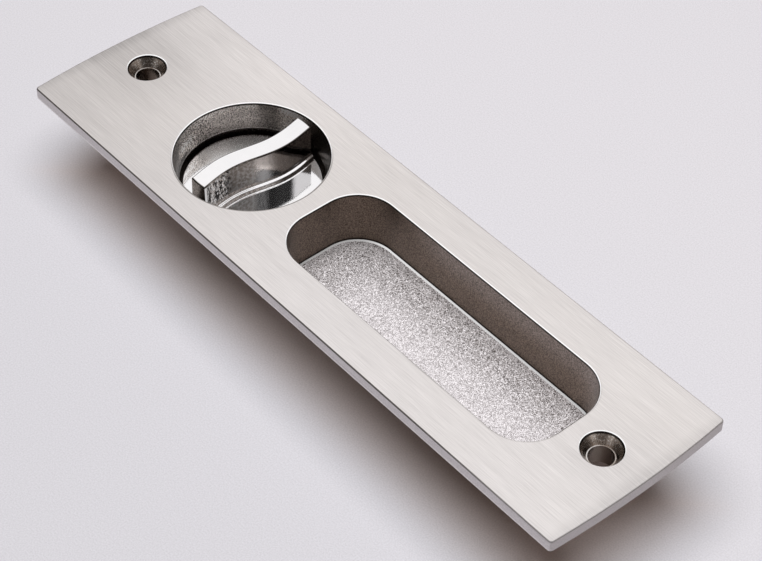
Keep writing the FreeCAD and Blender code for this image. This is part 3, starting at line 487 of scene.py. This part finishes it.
def painted_end_shade(w, lines):
    """How much painted shade darkens the face round the screw holes and along the ends."""
    x, y = w.parts(w.place)[:2]
    side_to_middle, at_sides = (14.0 * MM, 3.0 * MM), 0.45
    far_end, far_most = (-48.0 * MM, -80.0 * MM), 0.36
    near_end, near_most = (60.0 * MM, 74.0 * MM), 0.17
    end_edges, edge_most = (77.0 * MM, 80.3 * MM), 0.20
    middle = w.ramp(w.size(y), *side_to_middle, at_sides, 1.0)
    far = w.times(w.ramp(x, *far_end, 0.0, far_most), middle)
    near = w.times(w.ramp(x, *near_end, 0.0, near_most), w.math("SUBTRACT", middle, at_sides))
    last = w.ramp(w.size(x), *end_edges, 0.0, edge_most)
    shaded = w.total(far, near, last)
    return w.math("MULTIPLY", shaded, w.mix(lines, 1.25, 0.75), clamp=True)


def from_pull_rim(w):
    """The distance from the pull's rim, below 0 inside it."""
    core = (PULL_HALF_LONG - PULL_CORNER_R, PULL_HALF_WIDE - PULL_CORNER_R, 0)
    local = w.vector("ABSOLUTE", w.flat(w.vector("SUBTRACT", w.place, (PULL_X, 0, 0))))
    beyond = w.vector("MAXIMUM", w.vector("SUBTRACT", local, core), (0, 0, 0))
    return w.math("SUBTRACT", w.vector("LENGTH", beyond), PULL_CORNER_R)


def rim_shade_lines(w, face):
    """Painted shade: the thin dark line where the face meets the rims on the camera's side."""
    edge, full = 0.28 * MM, 0.12 * MM
    cup_side, pull_side = (0.8, -0.6, 0), (0.93, -0.36, 0)
    cup = w.math("SUBTRACT", w.from_turn(), CUP_FACE_R + BEVEL)
    cup = w.times(w.ramp(w.size(cup), edge, full), w.toward(TURN_X, cup_side, -0.2, 0.5))
    pull = w.math("SUBTRACT", from_pull_rim(w), BEVEL)
    pull = w.times(w.ramp(w.size(pull), edge, full), w.toward(PULL_X, pull_side, 0.55, 0.95),
                   w.ramp(w.parts(w.place)[0], 24.0 * MM, 42.0 * MM, 1.0, 0.25))
    return w.times(w.most(cup, pull), face)


# Painted light and shade patches on the cup's wall: the side they lie on, the cosines at their
# edge and their full middle, the depths in mm where they start and are full, and how they change
# the tone
CUP_LIGHT_PATCHES = [
    ((-0.309, 0.951, 0), (0.961, 0.988), None, 1.7),
    ((-0.629, 0.777, 0), (0.982, 0.996), (2.4, 1.2), 0.55),
    ((-0.899, -0.438, 0), (0.955, 0.998), (1.8, 3.2), 2.2),
]


def cup_light_and_shade(w):
    """How light each part of the cup's wall is: painted light and shade, lighter toward the rim,
    darker toward the foot, with patches.
    """
    z = w.parts(w.place)[2]
    middle_tone, gain_at_rim, loss_at_foot = 1.06, 0.95, 0.38
    foot_side, upright_side = (-0.743, -0.669, 0), (-0.669, -0.743, 0)
    tone = w.total(middle_tone, w.ramp(z, below(2.6), below(0.6), 0.0, gain_at_rim))
    tone = w.math("SUBTRACT", tone, w.ramp(z, below(3.6), below(6.0), 0.0, loss_at_foot))
    for side, cosines, depths, gain in CUP_LIGHT_PATCHES:
        patch = w.toward(TURN_X, side, *cosines)
        if depths:
            patch = w.times(patch, w.ramp(z, *map(below, depths)))
        tone = w.times(tone, w.mix(patch, 1.0, gain))
    foot = w.times(w.toward(TURN_X, foot_side, 0.90, 0.98), w.ramp(z, below(4.2), below(5.4)))
    upright = w.toward(TURN_X, upright_side, 0.93, 0.99)
    return w.times(tone, w.rest(w.most(w.times(foot, 0.85), w.times(upright, 0.55))))


def pull_wall(w, streaks):
    """The pull's wall, brown and dark with painted shade, paler with painted light high on the
    long side and at the near end, and darker at the left end.
    """
    x, y, z = w.parts(w.place)
    wall = w.colour_mix(streaks, *PULL_WALL_SHADED)
    upper_part = (PULL_FLOOR_Z + 5.0 * MM, below(1.0))
    long_side, near_end, not_left = (9.0 * MM, 12.0 * MM), (50.0 * MM, 60.0 * MM), (0.0, 14.0 * MM)
    left_end, left_tone = (8.0 * MM, -3.0 * MM), 0.92
    high = w.times(w.ramp(z, *upper_part), w.ramp(y, *long_side))
    paler = w.math("ADD", w.times(high, 0.75), w.ramp(x, *near_end, 0.0, 0.6), clamp=True)
    wall = w.colour_mix(w.times(paler, w.ramp(x, *not_left)), wall, PULL_WALL_LIT)
    return w.vector("SCALE", wall, w.ramp(x, *left_end, 1.0, left_tone))


def outer_side(w, lines):
    """The colour of the plate's side with its painted shade and a painted highlight along its
    foot, and the painted dark line where it rounds into the face.
    """
    x, y, z = w.parts(w.place)
    along, across, up = w.parts(w.normal)
    camera_side = (-0.6, -0.8, 0)
    side_foot, side_top = (0.50 * MM, 0.20 * MM), (0.2 * MM, 0.5 * MM)
    long_edges, end_edges = (21.8 * MM, 22.0 * MM), (78.8 * MM, 79.3 * MM)
    line_fades = (76.0 * MM, 40.0 * MM)
    foot = w.times(w.ramp(z, *side_foot), w.ramp(across, -0.5, -0.8))
    colour = w.layers(w.colour_mix(lines, *PLATE_SIDE_SHADED),
                      (w.times(foot, 0.8), SIDE_FOOT_HIGHLIGHT),
                      (w.ramp(along, 0.4, 0.7), SIDE_END_SHADE))
    outside = w.most(w.ramp(w.size(y), *long_edges), w.ramp(w.size(x), *end_edges))
    facing = w.ramp(w.vector("DOT_PRODUCT", w.normal, camera_side), 0.20, 0.36)
    line = w.times(outside, facing, w.ramp(up, 0.15, 0.35), w.ramp(z, *side_top),
                   w.ramp(x, *line_fades, 0.30, 0.85))
    return colour, line


def plate_zones(w):
    """Where each surface of the trim casting lies, as masks."""
    z = w.parts(w.place)[2]
    up = w.parts(w.normal)[2]
    tube_top, ledge_top = (below(2.38), below(2.42)), (below(2.30), below(2.38))
    hairline_foot, side_top = (below(0.62), below(0.45)), (-0.15 * MM, 0.0)
    cove_top = (PULL_FLOOR_Z + 0.27 * MM, PULL_FLOOR_Z + 0.19 * MM)
    dark_foot_top = (PULL_FLOOR_Z + 0.68 * MM, PULL_FLOOR_Z + 0.58 * MM)
    steep = w.ramp(up, 0.995, 0.96)
    inside = w.ramp(z, BEVEL_TOP_Z, BEVEL_FOOT_Z)

    low = (PULL_X - PULL_HALF_LONG - MASK_REACH, -PULL_HALF_WIDE - MASK_REACH,
           PULL_FLOOR_Z - MASK_REACH)
    high = (PULL_X + PULL_HALF_LONG + MASK_REACH, PULL_HALF_WIDE + MASK_REACH, BEVEL_FOOT_Z)
    pull = w.in_box(low, high)
    pull_rim = w.in_box((low[0] - BEVEL, low[1] - BEVEL, FACE_Z - BEVEL),
                        (high[0] + BEVEL, high[1] + BEVEL, FACE_Z + BEVEL))
    cup = w.times(w.in_round(TURN_X, CUP_FACE_R + MASK_REACH), inside)
    cup_rim = w.in_round(TURN_X, CUP_FACE_R + RIM_REACH)
    far_hole = w.in_round(-SCREW_HALF, SINK_R + RIM_REACH)
    near_hole = w.in_round(SCREW_HALF, SINK_R + RIM_REACH)
    sinks = w.times(w.most(far_hole, near_hole), inside)
    near_rims = w.most(cup_rim, pull_rim, far_hole, near_hole)
    face = w.ramp(z, below(0.16), below(0.05))
    openings = w.most(pull, cup, sinks)

    # Painted highlight: the arcs where the screw holes' ledges are lit
    left, back = (-0.97, -0.25, 0), (0.19, 0.98, 0)
    far_lit_arc = w.most(w.toward(-SCREW_HALF, left, 0.35, 0.75),
                     w.toward(-SCREW_HALF, back, 0.75, 0.95))
    lit_arcs = w.most(w.times(far_lit_arc, far_hole),
                  w.times(w.toward(SCREW_HALF, left, 0.35, 0.75), near_hole))
    tube = w.times(sinks, w.ramp(z, *tube_top))
    ledge = w.times(w.math("SUBTRACT", sinks, tube), w.ramp(z, *ledge_top),
                    w.mix(lit_arcs, 0.12, 1.0))
    rims = w.times(near_rims, steep)
    hairline = w.times(w.ramp(z, *hairline_foot), w.ramp(z, BEVEL_TOP_Z, BEVEL_MIDDLE_Z),
                       w.most(openings, rims))
    bevels = w.times(near_rims, w.times(w.ramp(z, BEVEL_MIDDLE_Z, BEVEL_TOP_Z), steep))
    return SimpleNamespace(
        face=face, openings=openings, cup=cup, sinks=sinks, tube=tube, ledge=ledge,
        hairline=hairline, bevels=bevels, pull=pull, pull_rim=pull_rim,
        edge=w.times(w.ramp(z, *side_top), w.rest(face)),
        flat_face=w.times(face, w.rest(rims)),
        pull_floor=w.times(pull, w.ramp(up, 0.990, 0.999)),
        pull_cove=w.times(pull, w.ramp(z, *cove_top)),
        pull_foot=w.times(pull, w.ramp(z, *dark_foot_top)))


def satin_face(w, brushing):
    """The brushed face, darkened by painted shade toward the ends, with its far half paler toward
    the back.
    """
    x, y = w.parts(w.place)[:2]
    far_half, change_across = (-5.0 * MM, -50.0 * MM), 4.6
    satin = w.layers(w.colour_mix(brushing["Lines"], *SATIN),
                     (w.times(brushing["Drift"], 0.5), SATIN_DRIFT),
                     (painted_end_shade(w, brushing["Lines"]), SATIN_END_SHADE))
    slant = w.times(w.ramp(x, *far_half), w.times(y, change_across))
    return w.vector("SCALE", satin, w.total(1.0, slant))


def cup_wall(w, rings):
    """The turned cup wall with its painted shade, painted shade on its dark side, a painted
    highlight on its lip and painted shade in the undercut below.
    """
    z = w.parts(w.place)[2]
    turned = w.vector("SCALE", w.colour_mix(rings, *CUP_WALL_SHADED), cup_light_and_shade(w))
    shaded_side = (0.47, 0.88, 0)
    lip_top = (LIP_Z + 0.25 * MM, LIP_Z + 0.12 * MM)
    under_lip = (LIP_Z - 0.05 * MM, LIP_Z - 0.20 * MM)
    shaded = w.toward(TURN_X, shaded_side, 0.66, 0.93)
    lip = w.times(w.ramp(z, *lip_top), w.rest(shaded))
    return w.layers(turned,
                    (shaded, CUP_SIDE_SHADE),
                    (w.times(lip, 0.45), CUP_LIP_HIGHLIGHT),
                    (w.ramp(z, *under_lip), CUP_UNDER_LIP_SHADE))


def floor_glitter(w, glint):
    """The pull's sparkling floor with painted glints, its pits darker and its grain harsher toward
    its back and its left end as painted shade by the walls.
    """
    x, y = w.parts(w.place)[:2]
    to_back, to_left = (0.5 * MM, 8.5 * MM), (4.0 * MM, -7.0 * MM)
    wall_shade = w.most(w.ramp(y, *to_back), w.ramp(x, *to_left))
    pits = w.colour_mix(wall_shade, *FLOOR_PITS_AND_SHADE)
    return w.colour_mix(w.ramp(glint, 0.08, w.mix(wall_shade, 0.75, 0.52)), pits, FLOOR_GLINT)


def frost_on(w, zone):
    """How much the fine frost lightens and darkens each place."""
    grain_size, brushed_stretch, left_side = 0.26 * MM, (140, 6500, 6500), (-0.94, -0.34, 0)
    grain = w.noise(w.place, 1.0 / grain_size, 1.0)
    brushed = w.stretched_noise(w.place, brushed_stretch, 1.0, 2.0)
    frost = w.mix(zone.flat_face, grain, brushed)
    on_cup = w.mix(w.toward(TURN_X, left_side, 0.85, 0.99), 3.4, 6.0)
    depth = w.mix(zone.cup, w.mix(zone.pull, 0.42, 2.6), on_cup)
    depth = w.times(depth, w.rest(w.most(zone.sinks, zone.pull_cove), clamp=True))
    return w.total(1.0, w.times(w.math("SUBTRACT", frost, 0.5), depth))


def satin_plate():
    """The trim casting: each of its surfaces has the finish that it is given."""
    w = Finish("satin_plate")
    zone = plate_zones(w)
    brushing = w.brushing(0.22 * MM, 14.0 * MM)
    lines = brushing["Lines"]
    rings = w.rings(TURN_AXIS, 0.5 * MM)
    grain = w.group("cast_grain", Position=w.place, Grain_Size=0.17 * MM, Tilt=0.33,
                    Normal=w.normal)
    clouding = w.clouding(9.0 * MM)
    streaks = w.stretched_noise(w.place, (150, 150, 20), 1.0, 2.0)

    # Colour
    side, side_line = outer_side(w, lines)
    wall = w.colour_mix(zone.pull_foot, pull_wall(w, streaks), PULL_FOOT_SHADE_LINE)
    from_left = w.ramp(w.parts(w.place)[0], -11.0 * MM, -4.0 * MM)
    colour = w.layers(w.colour_mix(clouding["Cloud"], *CAST),
                      (zone.edge, side),
                      (zone.face, satin_face(w, brushing)),
                      (rim_shade_lines(w, zone.face), RIM_SHADE_LINE),
                      (zone.pull, wall),
                      (zone.pull_cove, w.colour_mix(from_left, *COVE_HIGHLIGHT)),
                      (zone.cup, cup_wall(w, rings)),
                      (zone.sinks, w.colour_mix(clouding["Speck"], *SINK)),
                      (zone.tube, SINK_TUBE_SHADE),
                      (zone.ledge, SINK_LEDGE_HIGHLIGHT),
                      (w.times(zone.hairline, 0.95), HAIRLINE_SHADE),
                      (side_line, SIDE_SHADE_LINE))
    dark_mark = w.times(zone.pull_rim, zone.bevels, w.toward(PULL_X, (1, 0, 0), 0.990, 0.997))
    colour = w.layers(w.vector("SCALE", colour, frost_on(w, zone)),
                      (zone.pull_floor, floor_glitter(w, grain["Glint"])),
                      (zone.bevels, BEVEL_HIGHLIGHT),
                      (dark_mark, RIM_DARK_MARK))

    # Roughness and metal
    rough = w.layers(0.46,
                     (zone.face, w.mix(lines, 0.40, 0.34)),
                     (zone.pull, 0.40),
                     (zone.pull_cove, 0.16),
                     (zone.pull_floor, 0.34),
                     (zone.cup, w.mix(rings, 0.38, 0.26)),
                     (zone.sinks, 0.22),
                     (zone.bevels, 0.12), kind="FLOAT")
    w.set(colour, rough, metal=w.mix(zone.pull_floor, 1.0, 0.57))

    # Relief
    back = w.rest(w.most(zone.face, zone.openings), clamp=True)
    relief = w.total(w.times(lines, w.times(zone.face, 0.10)),
                     w.times(rings, zone.cup, 0.25),
                     w.times(clouding["Speck"], zone.sinks, 0.5),
                     w.times(clouding["Speck"], back, 0.8))
    upward = w.vector("NORMALIZE", w.vector("ADD", w.vector("SCALE", w.normal, 0.2), (0, 0, 0.8)))
    crest = w.times(zone.pull_cove, w.ramp(w.parts(w.normal)[2], 0.999, 0.990))
    crest_way = (0.317, -0.323, 0.892)
    shape = w.layers(w.normal,
                     (zone.pull_floor, grain["Normal"]),
                     (w.times(zone.bevels, 0.8), upward),
                     (crest, crest_way), kind="VECTOR")
    w.emboss(relief, 0.02 * MM, shape)
    return w.material


def knob_colour(w, hidden, rings, cloud):
    """The knob's polish, with a painted dark line on the grip's edge and painted reflections on
    its near flank.
    """
    x, y, z = w.parts(w.place)
    mottle_size, stroke_size, stroke_y = 0.55 * MM, 0.80 * MM, -9.2 * MM
    on_flank = w.ramp(w.parts(w.normal)[0], 0.5, 0.8)
    sway = w.times(w.math("SINE", w.times(y, math.pi / GRIP_HALF_WAVE)), GRIP_SWAY)
    aside = w.size(w.math("SUBTRACT", w.math("SUBTRACT", x, TURN_X), sway))
    edge = w.times(w.most(w.ramp(aside, GRIP_HALF_THICK - MASK_REACH, GRIP_HALF_THICK),
                          w.ramp(w.from_turn(), GRIP_END_R - MASK_REACH, GRIP_END_R)),
                   w.ramp(z, GRIP_TOP_Z - 0.42 * MM, GRIP_TOP_Z - 0.30 * MM))
    near_half = w.times(on_flank, w.ramp(y, 1.0 * MM, -2.5 * MM),
                        w.ramp(y, -13.8 * MM, -12.4 * MM))
    mottle = w.ramp(w.noise(w.place, 1.0 / mottle_size, 2.0), 0.35, 0.65)
    strokes = w.stretched_noise(w.place, (1, 1, 0.7), 1.0 / stroke_size, 2.0, 0.6)
    by_near_end = w.ramp(w.size(w.total(y, -stroke_y)), 3.4 * MM, 1.6 * MM)
    strokes = w.times(w.ramp(strokes, 0.50, 0.58), by_near_end, on_flank,
                      w.ramp(z, DISH_TOP_Z + 1.5 * MM, DISH_TOP_Z + 2.6 * MM))
    bright = w.layers(w.colour_mix(cloud, *POLISH),
                      (edge, GRIP_EDGE_SHADE),
                      (w.times(near_half, w.mix(mottle, 0.95, 0.15)), FLANK_REFLECTION_MOTTLE),
                      (strokes, FLANK_REFLECTION_STROKES))
    return w.colour_mix(hidden, bright, w.colour_mix(rings, *SHANK))


def polished_turn():
    """The knob: mirror polish above, turned metal below the dish."""
    w = Finish("polished_turn")
    x, y, z = w.parts(w.place)
    normal = w.parts(w.normal)
    along, up = normal[0], normal[2]
    worn_y, ripple_size = -4.2 * MM, 0.8 * MM
    hidden = w.ramp(z, DISH_TOP_Z - 0.6 * MM, DISH_TOP_Z - 0.9 * MM)
    rings = w.rings(TURN_AXIS, 0.3 * MM)
    clouding = w.clouding(3.2 * MM)
    flank = w.times(w.ramp(along, 0.5, 0.8),
                    w.ramp(z, DISH_TOP_Z + 1.2 * MM, DISH_TOP_Z + 2.0 * MM))
    buffed = w.times(flank, w.times(w.ramp(y, -4.5 * MM, -9.5 * MM),
                                    w.ramp(y, -13.8 * MM, -12.2 * MM)))
    worn = w.times(flank, w.ramp(w.size(w.total(y, -worn_y)), 5.2 * MM, 2.2 * MM))
    dish_left = w.times(w.ramp(up, 0.9, 0.98),
                        w.ramp(x, TURN_X - 6.0 * MM, TURN_X - 9.0 * MM),
                        w.ramp(z, GRIP_TOP_Z - 2.0 * MM, GRIP_TOP_Z - 4.0 * MM),
                        w.ramp(y, -5.0 * MM, -1.0 * MM))
    scuffed = w.most(w.times(worn, 0.9), w.times(dish_left, 0.7))
    haze = w.mix(clouding["Speck"], 0.05, 0.10)
    w.set(knob_colour(w, hidden, rings, clouding["Cloud"]),
          w.mix(hidden, w.mix(scuffed, haze, 0.36), w.mix(rings, 0.3, 0.45)))

    wavy = w.stretched_noise(w.place, (1.0, 1.0, 0.6), 1.0 / ripple_size, 2.0, 0.5)
    strength = w.mix(worn, w.mix(buffed, 0.8, 22.0), 5.0)
    ripple = w.total(w.times(wavy, w.times(w.ramp(up, 0.6, 0.2), strength)),
                     w.times(clouding["Speck"], 0.08))
    ripple = w.total(w.times(ripple, w.rest(hidden)), w.times(rings, hidden, 0.6))
    w.emboss(ripple, 0.01 * MM)
    return w.material


def zinc_sheet():
    """Zinc-plated pressed steel: bluish, cloudy, faintly yellow in places."""
    w = Finish("zinc_sheet")
    clouding = w.clouding(11.0 * MM)
    rolled = w.brushing(0.45 * MM, 9.0 * MM)["Lines"]
    colour = w.layers(w.colour_mix(clouding["Cloud"], *ZINC),
                      (w.times(clouding["Speck"], 0.4), ZINC_SPECK),
                      (w.times(rolled, 0.35), ZINC_ROLLED))
    w.set(colour, w.mix(clouding["Cloud"], 0.34, 0.48))
    w.emboss(w.total(w.times(rolled, 0.6), clouding["Speck"]), 0.006 * MM)
    return w.material


def edge_plate_steel():
    """The edge plate: stainless strip, brushed along its length."""
    w = Finish("edge_plate_steel")
    lines = w.brushing(0.16 * MM, 20.0 * MM)["Lines"]
    cloud = w.clouding(7.0 * MM)["Cloud"]
    colour = w.colour_mix(lines, *STAINLESS)
    w.set(w.colour_mix(w.times(cloud, 0.3), colour, STAINLESS_CLOUD), w.mix(lines, 0.38, 0.26))
    w.emboss(lines, 0.004 * MM)
    return w.material


def ground_steel(name, pair, width):
    """Hardened steel with grinding lines across it, for the hook, link and hub."""
    w = Finish(name)
    grinding_turn, length_in_widths = (0.0, 0.0, math.radians(52.0)), 40
    turned = w.node("ShaderNodeMapping", {"Vector": w.place, "Rotation": grinding_turn})
    lines = w.brushing(width, width * length_in_widths, turned.outputs[0])["Lines"]
    oiled = w.times(w.clouding(4.0 * MM)["Cloud"], 0.35)
    w.set(w.colour_mix(oiled, w.colour_mix(lines, *pair), OILED), w.mix(lines, 0.42, 0.28))
    w.emboss(lines, 0.005 * MM)
    return w.material


def turned_metal(name, axis, pair, rough):
    """A small turned piece with rings round its own axis."""
    w = Finish(name)
    rings = w.rings(axis, 0.22 * MM)
    stain = w.times(w.clouding(2.0 * MM)["Speck"], 0.4)
    w.set(w.colour_mix(stain, w.colour_mix(rings, *pair), pair[0]),
          w.mix(rings, rough, rough * 0.7))
    w.emboss(rings, 0.006 * MM)
    return w.material


def moulded_plastic():
    """The bush and the spacers: pale moulded plastic with a faint flow pattern."""
    w = Finish("moulded_bush")
    clouding = w.clouding(3.0 * MM)
    flow = w.rings(TURN_AXIS, 0.6 * MM)
    colour = w.colour_mix(clouding["Cloud"], *PLASTIC)
    w.set(w.colour_mix(w.times(flow, 0.2), colour, PLASTIC_FLOW),
          w.mix(clouding["Speck"], 0.42, 0.55), metal=0.0)
    w.feed(w.shader["Subsurface Weight"], 0.15)
    w.feed(w.shader["Subsurface Radius"], (0.001, 0.001, 0.0008))
    w.emboss(flow, 0.01 * MM)
    return w.material


def dress(node, material):
    """Gives a CAD node its material."""
    mesh = nodes[node].data
    for index in range(len(mesh.materials)):
        mesh.materials[index] = material


def dress_all():
    """The material of every piece."""
    zinc = zinc_sheet()
    hook_steel = ground_steel("hook_steel", HOOK_STEEL, 0.12 * MM)
    hub_steel = ground_steel("hub_steel", HUB_STEEL, 0.2 * MM)
    spring = turned_metal("tempered_spring", TURN_AXIS, SPRING_STEEL, 0.4)
    screw = turned_metal("screw_zinc", TURN_AXIS, SCREW_ZINC, 0.3)
    brass = turned_metal("turned_brass", HOOK_AXIS, BRASS, 0.3)
    pin = turned_metal("ground_pin", HOOK_AXIS, PIN_STEEL, 0.3)
    plastic = moulded_plastic()
    plan = {
        "face_plate": satin_plate(),
        "thumb_turn": polished_turn(),
        "turn_bush": plastic, "hook_spacers": plastic,
        "lock_case": zinc, "case_cover": zinc, "turn_washer": zinc,
        "forend": edge_plate_steel(),
        "hook_bolt": hook_steel, "drive_link": hook_steel,
        "hub": hub_steel, "spindle": hub_steel,
        "spring_washer": spring, "turn_clip": spring, "detent_spring": spring,
        "case_pillars": pin, "detent_stops": pin,
        "hook_pivot": brass, "hub_crank_pin": brass, "hook_crank_pin": brass,
        "cover_screws": screw, "fixing_screws": screw, "forend_screws": screw,
    }
    for node in nodes:
        dress(node, plan[node])


def table_material():
    """Pale fibrous paper, paler beyond the lock, with a painted warm tint in the shadow under it.
    """
    w = Finish("pale_table")
    x, y = w.parts(w.place)[:2]
    near_to_far, under_edge, fibres_per_metre = (-0.10, 0.10), (5.5 * MM, -16.5 * MM), 3000.0
    colour = w.colour_mix(w.ramp(y, *near_to_far), TABLE_NEAR, TABLE_BEYOND)
    beyond = w.most(w.math("SUBTRACT", w.size(x), PLATE_HIGH.x),
                    w.math("SUBTRACT", w.size(y), -PLATE_LOW.y))
    under = w.ramp(beyond, *under_edge)
    colour = w.vector("MULTIPLY", colour, w.colour_mix(under, WHITE, TABLE_SHADOW_TINT))
    fibre = w.math("SUBTRACT", w.noise(w.place, fibres_per_metre, 2.0), 0.5)
    fibre = w.total(1.0, w.times(fibre, FIBRE_DEPTH))
    w.set(w.vector("SCALE", colour, fibre), 0.9, metal=0.0)
    w.feed(w.shader["Specular IOR Level"], 0.1)
    return w.material


def add_table():
    """The pale table that the lock lies on."""
    bpy.ops.object.select_all(action="DESELECT")
    bpy.ops.mesh.primitive_plane_add(size=TABLE_WIDE, location=(0, 0, FLOOR_Z))
    table = bpy.context.object
    table.name = "table"
    table.data.materials.append(table_material())


def add_lamp():
    """A large round lamp overhead, which the metal mirrors only through the room."""
    data = bpy.data.lights.new("overhead_lamp", "AREA")
    data.shape = "DISK"
    data.size = LAMP_WIDE
    data.energy = LAMP_WATTS
    data.color = LAMP_COLOUR
    lamp = bpy.data.objects.new("overhead_lamp", data)
    bpy.context.scene.collection.objects.link(lamp)
    way = LAMP_TILT.normalized()
    lamp.location = way * LAMP_FAR
    lamp.rotation_euler = (-way).to_track_quat("-Z", "Y").to_euler()
    lamp.visible_glossy = False
    lamp.visible_camera = False


def add_room():
    """The room that the metal mirrors, a bright ceiling over a dim horizon with bright and
    dark cards, and the dim warm light that everything else gets from all round."""
    world = bpy.data.worlds.new("room")
    world.use_nodes = True
    world.node_tree.nodes.clear()
    w = Wiring(world.node_tree)
    way = w.node("ShaderNodeTexCoord").outputs["Generated"]
    height = w.parts(way)[2]

    def toward_card(direction):
        return w.vector("DOT_PRODUCT", way, tuple(Vector(direction).normalized()))

    bright = w.ramp(height, *SKY_RISE)
    for direction, edge, middle in BRIGHT_CARDS:
        card = w.ramp(toward_card(direction), edge, middle, 0.0, BRIGHT_CARD_LIGHT)
        bright = w.most(bright, card)
    light = 1.0
    hung = w.ramp(height, *DARK_CARDS_HANG)
    for direction, edge, middle, left_over in DARK_CARDS:
        card = w.ramp(toward_card(direction), edge, middle, 1.0, left_over)
        light = w.times(light, w.mix(hung, 1.0, card))
    seen = w.colour_mix(bright, HORIZON, SKY)
    glossy = w.node("ShaderNodeBackground", {"Color": seen, "Strength": light})
    plain = w.node("ShaderNodeBackground", {"Color": FILL, "Strength": 1.0})
    ray = w.node("ShaderNodeLightPath").outputs["Is Glossy Ray"]
    mixed = w.node("ShaderNodeMixShader", {0: ray, 1: plain.outputs[0], 2: glossy.outputs[0]})
    out = w.node("ShaderNodeOutputWorld")
    w.feed(out.inputs["Surface"], mixed.outputs[0])
    bpy.context.scene.world = world


def add_camera():
    """The camera, at the photograph's place and angle."""
    data = bpy.data.cameras.new("photo_camera")
    data.sensor_width = SENSOR_WIDE
    data.lens = SENSOR_WIDE * FOCAL_PIXELS / PICTURE_WIDE
    data.clip_start = 10.0 * MM
    camera = bpy.data.objects.new("photo_camera", data)
    bpy.context.scene.collection.objects.link(camera)
    right = CAMERA_RIGHT.normalized()
    up = -CAMERA_DOWN
    up = (up - right * up.dot(right)).normalized()
    turn = Matrix((right, up, right.cross(up))).transposed()
    camera.matrix_world = Matrix.Translation(CAMERA_PLACE) @ turn.to_4x4()
    bpy.context.scene.camera = camera


make_groups()
dress_all()
add_table()
add_lamp()
add_room()
add_camera()
bpy.context.scene.view_settings.view_transform = "Standard"
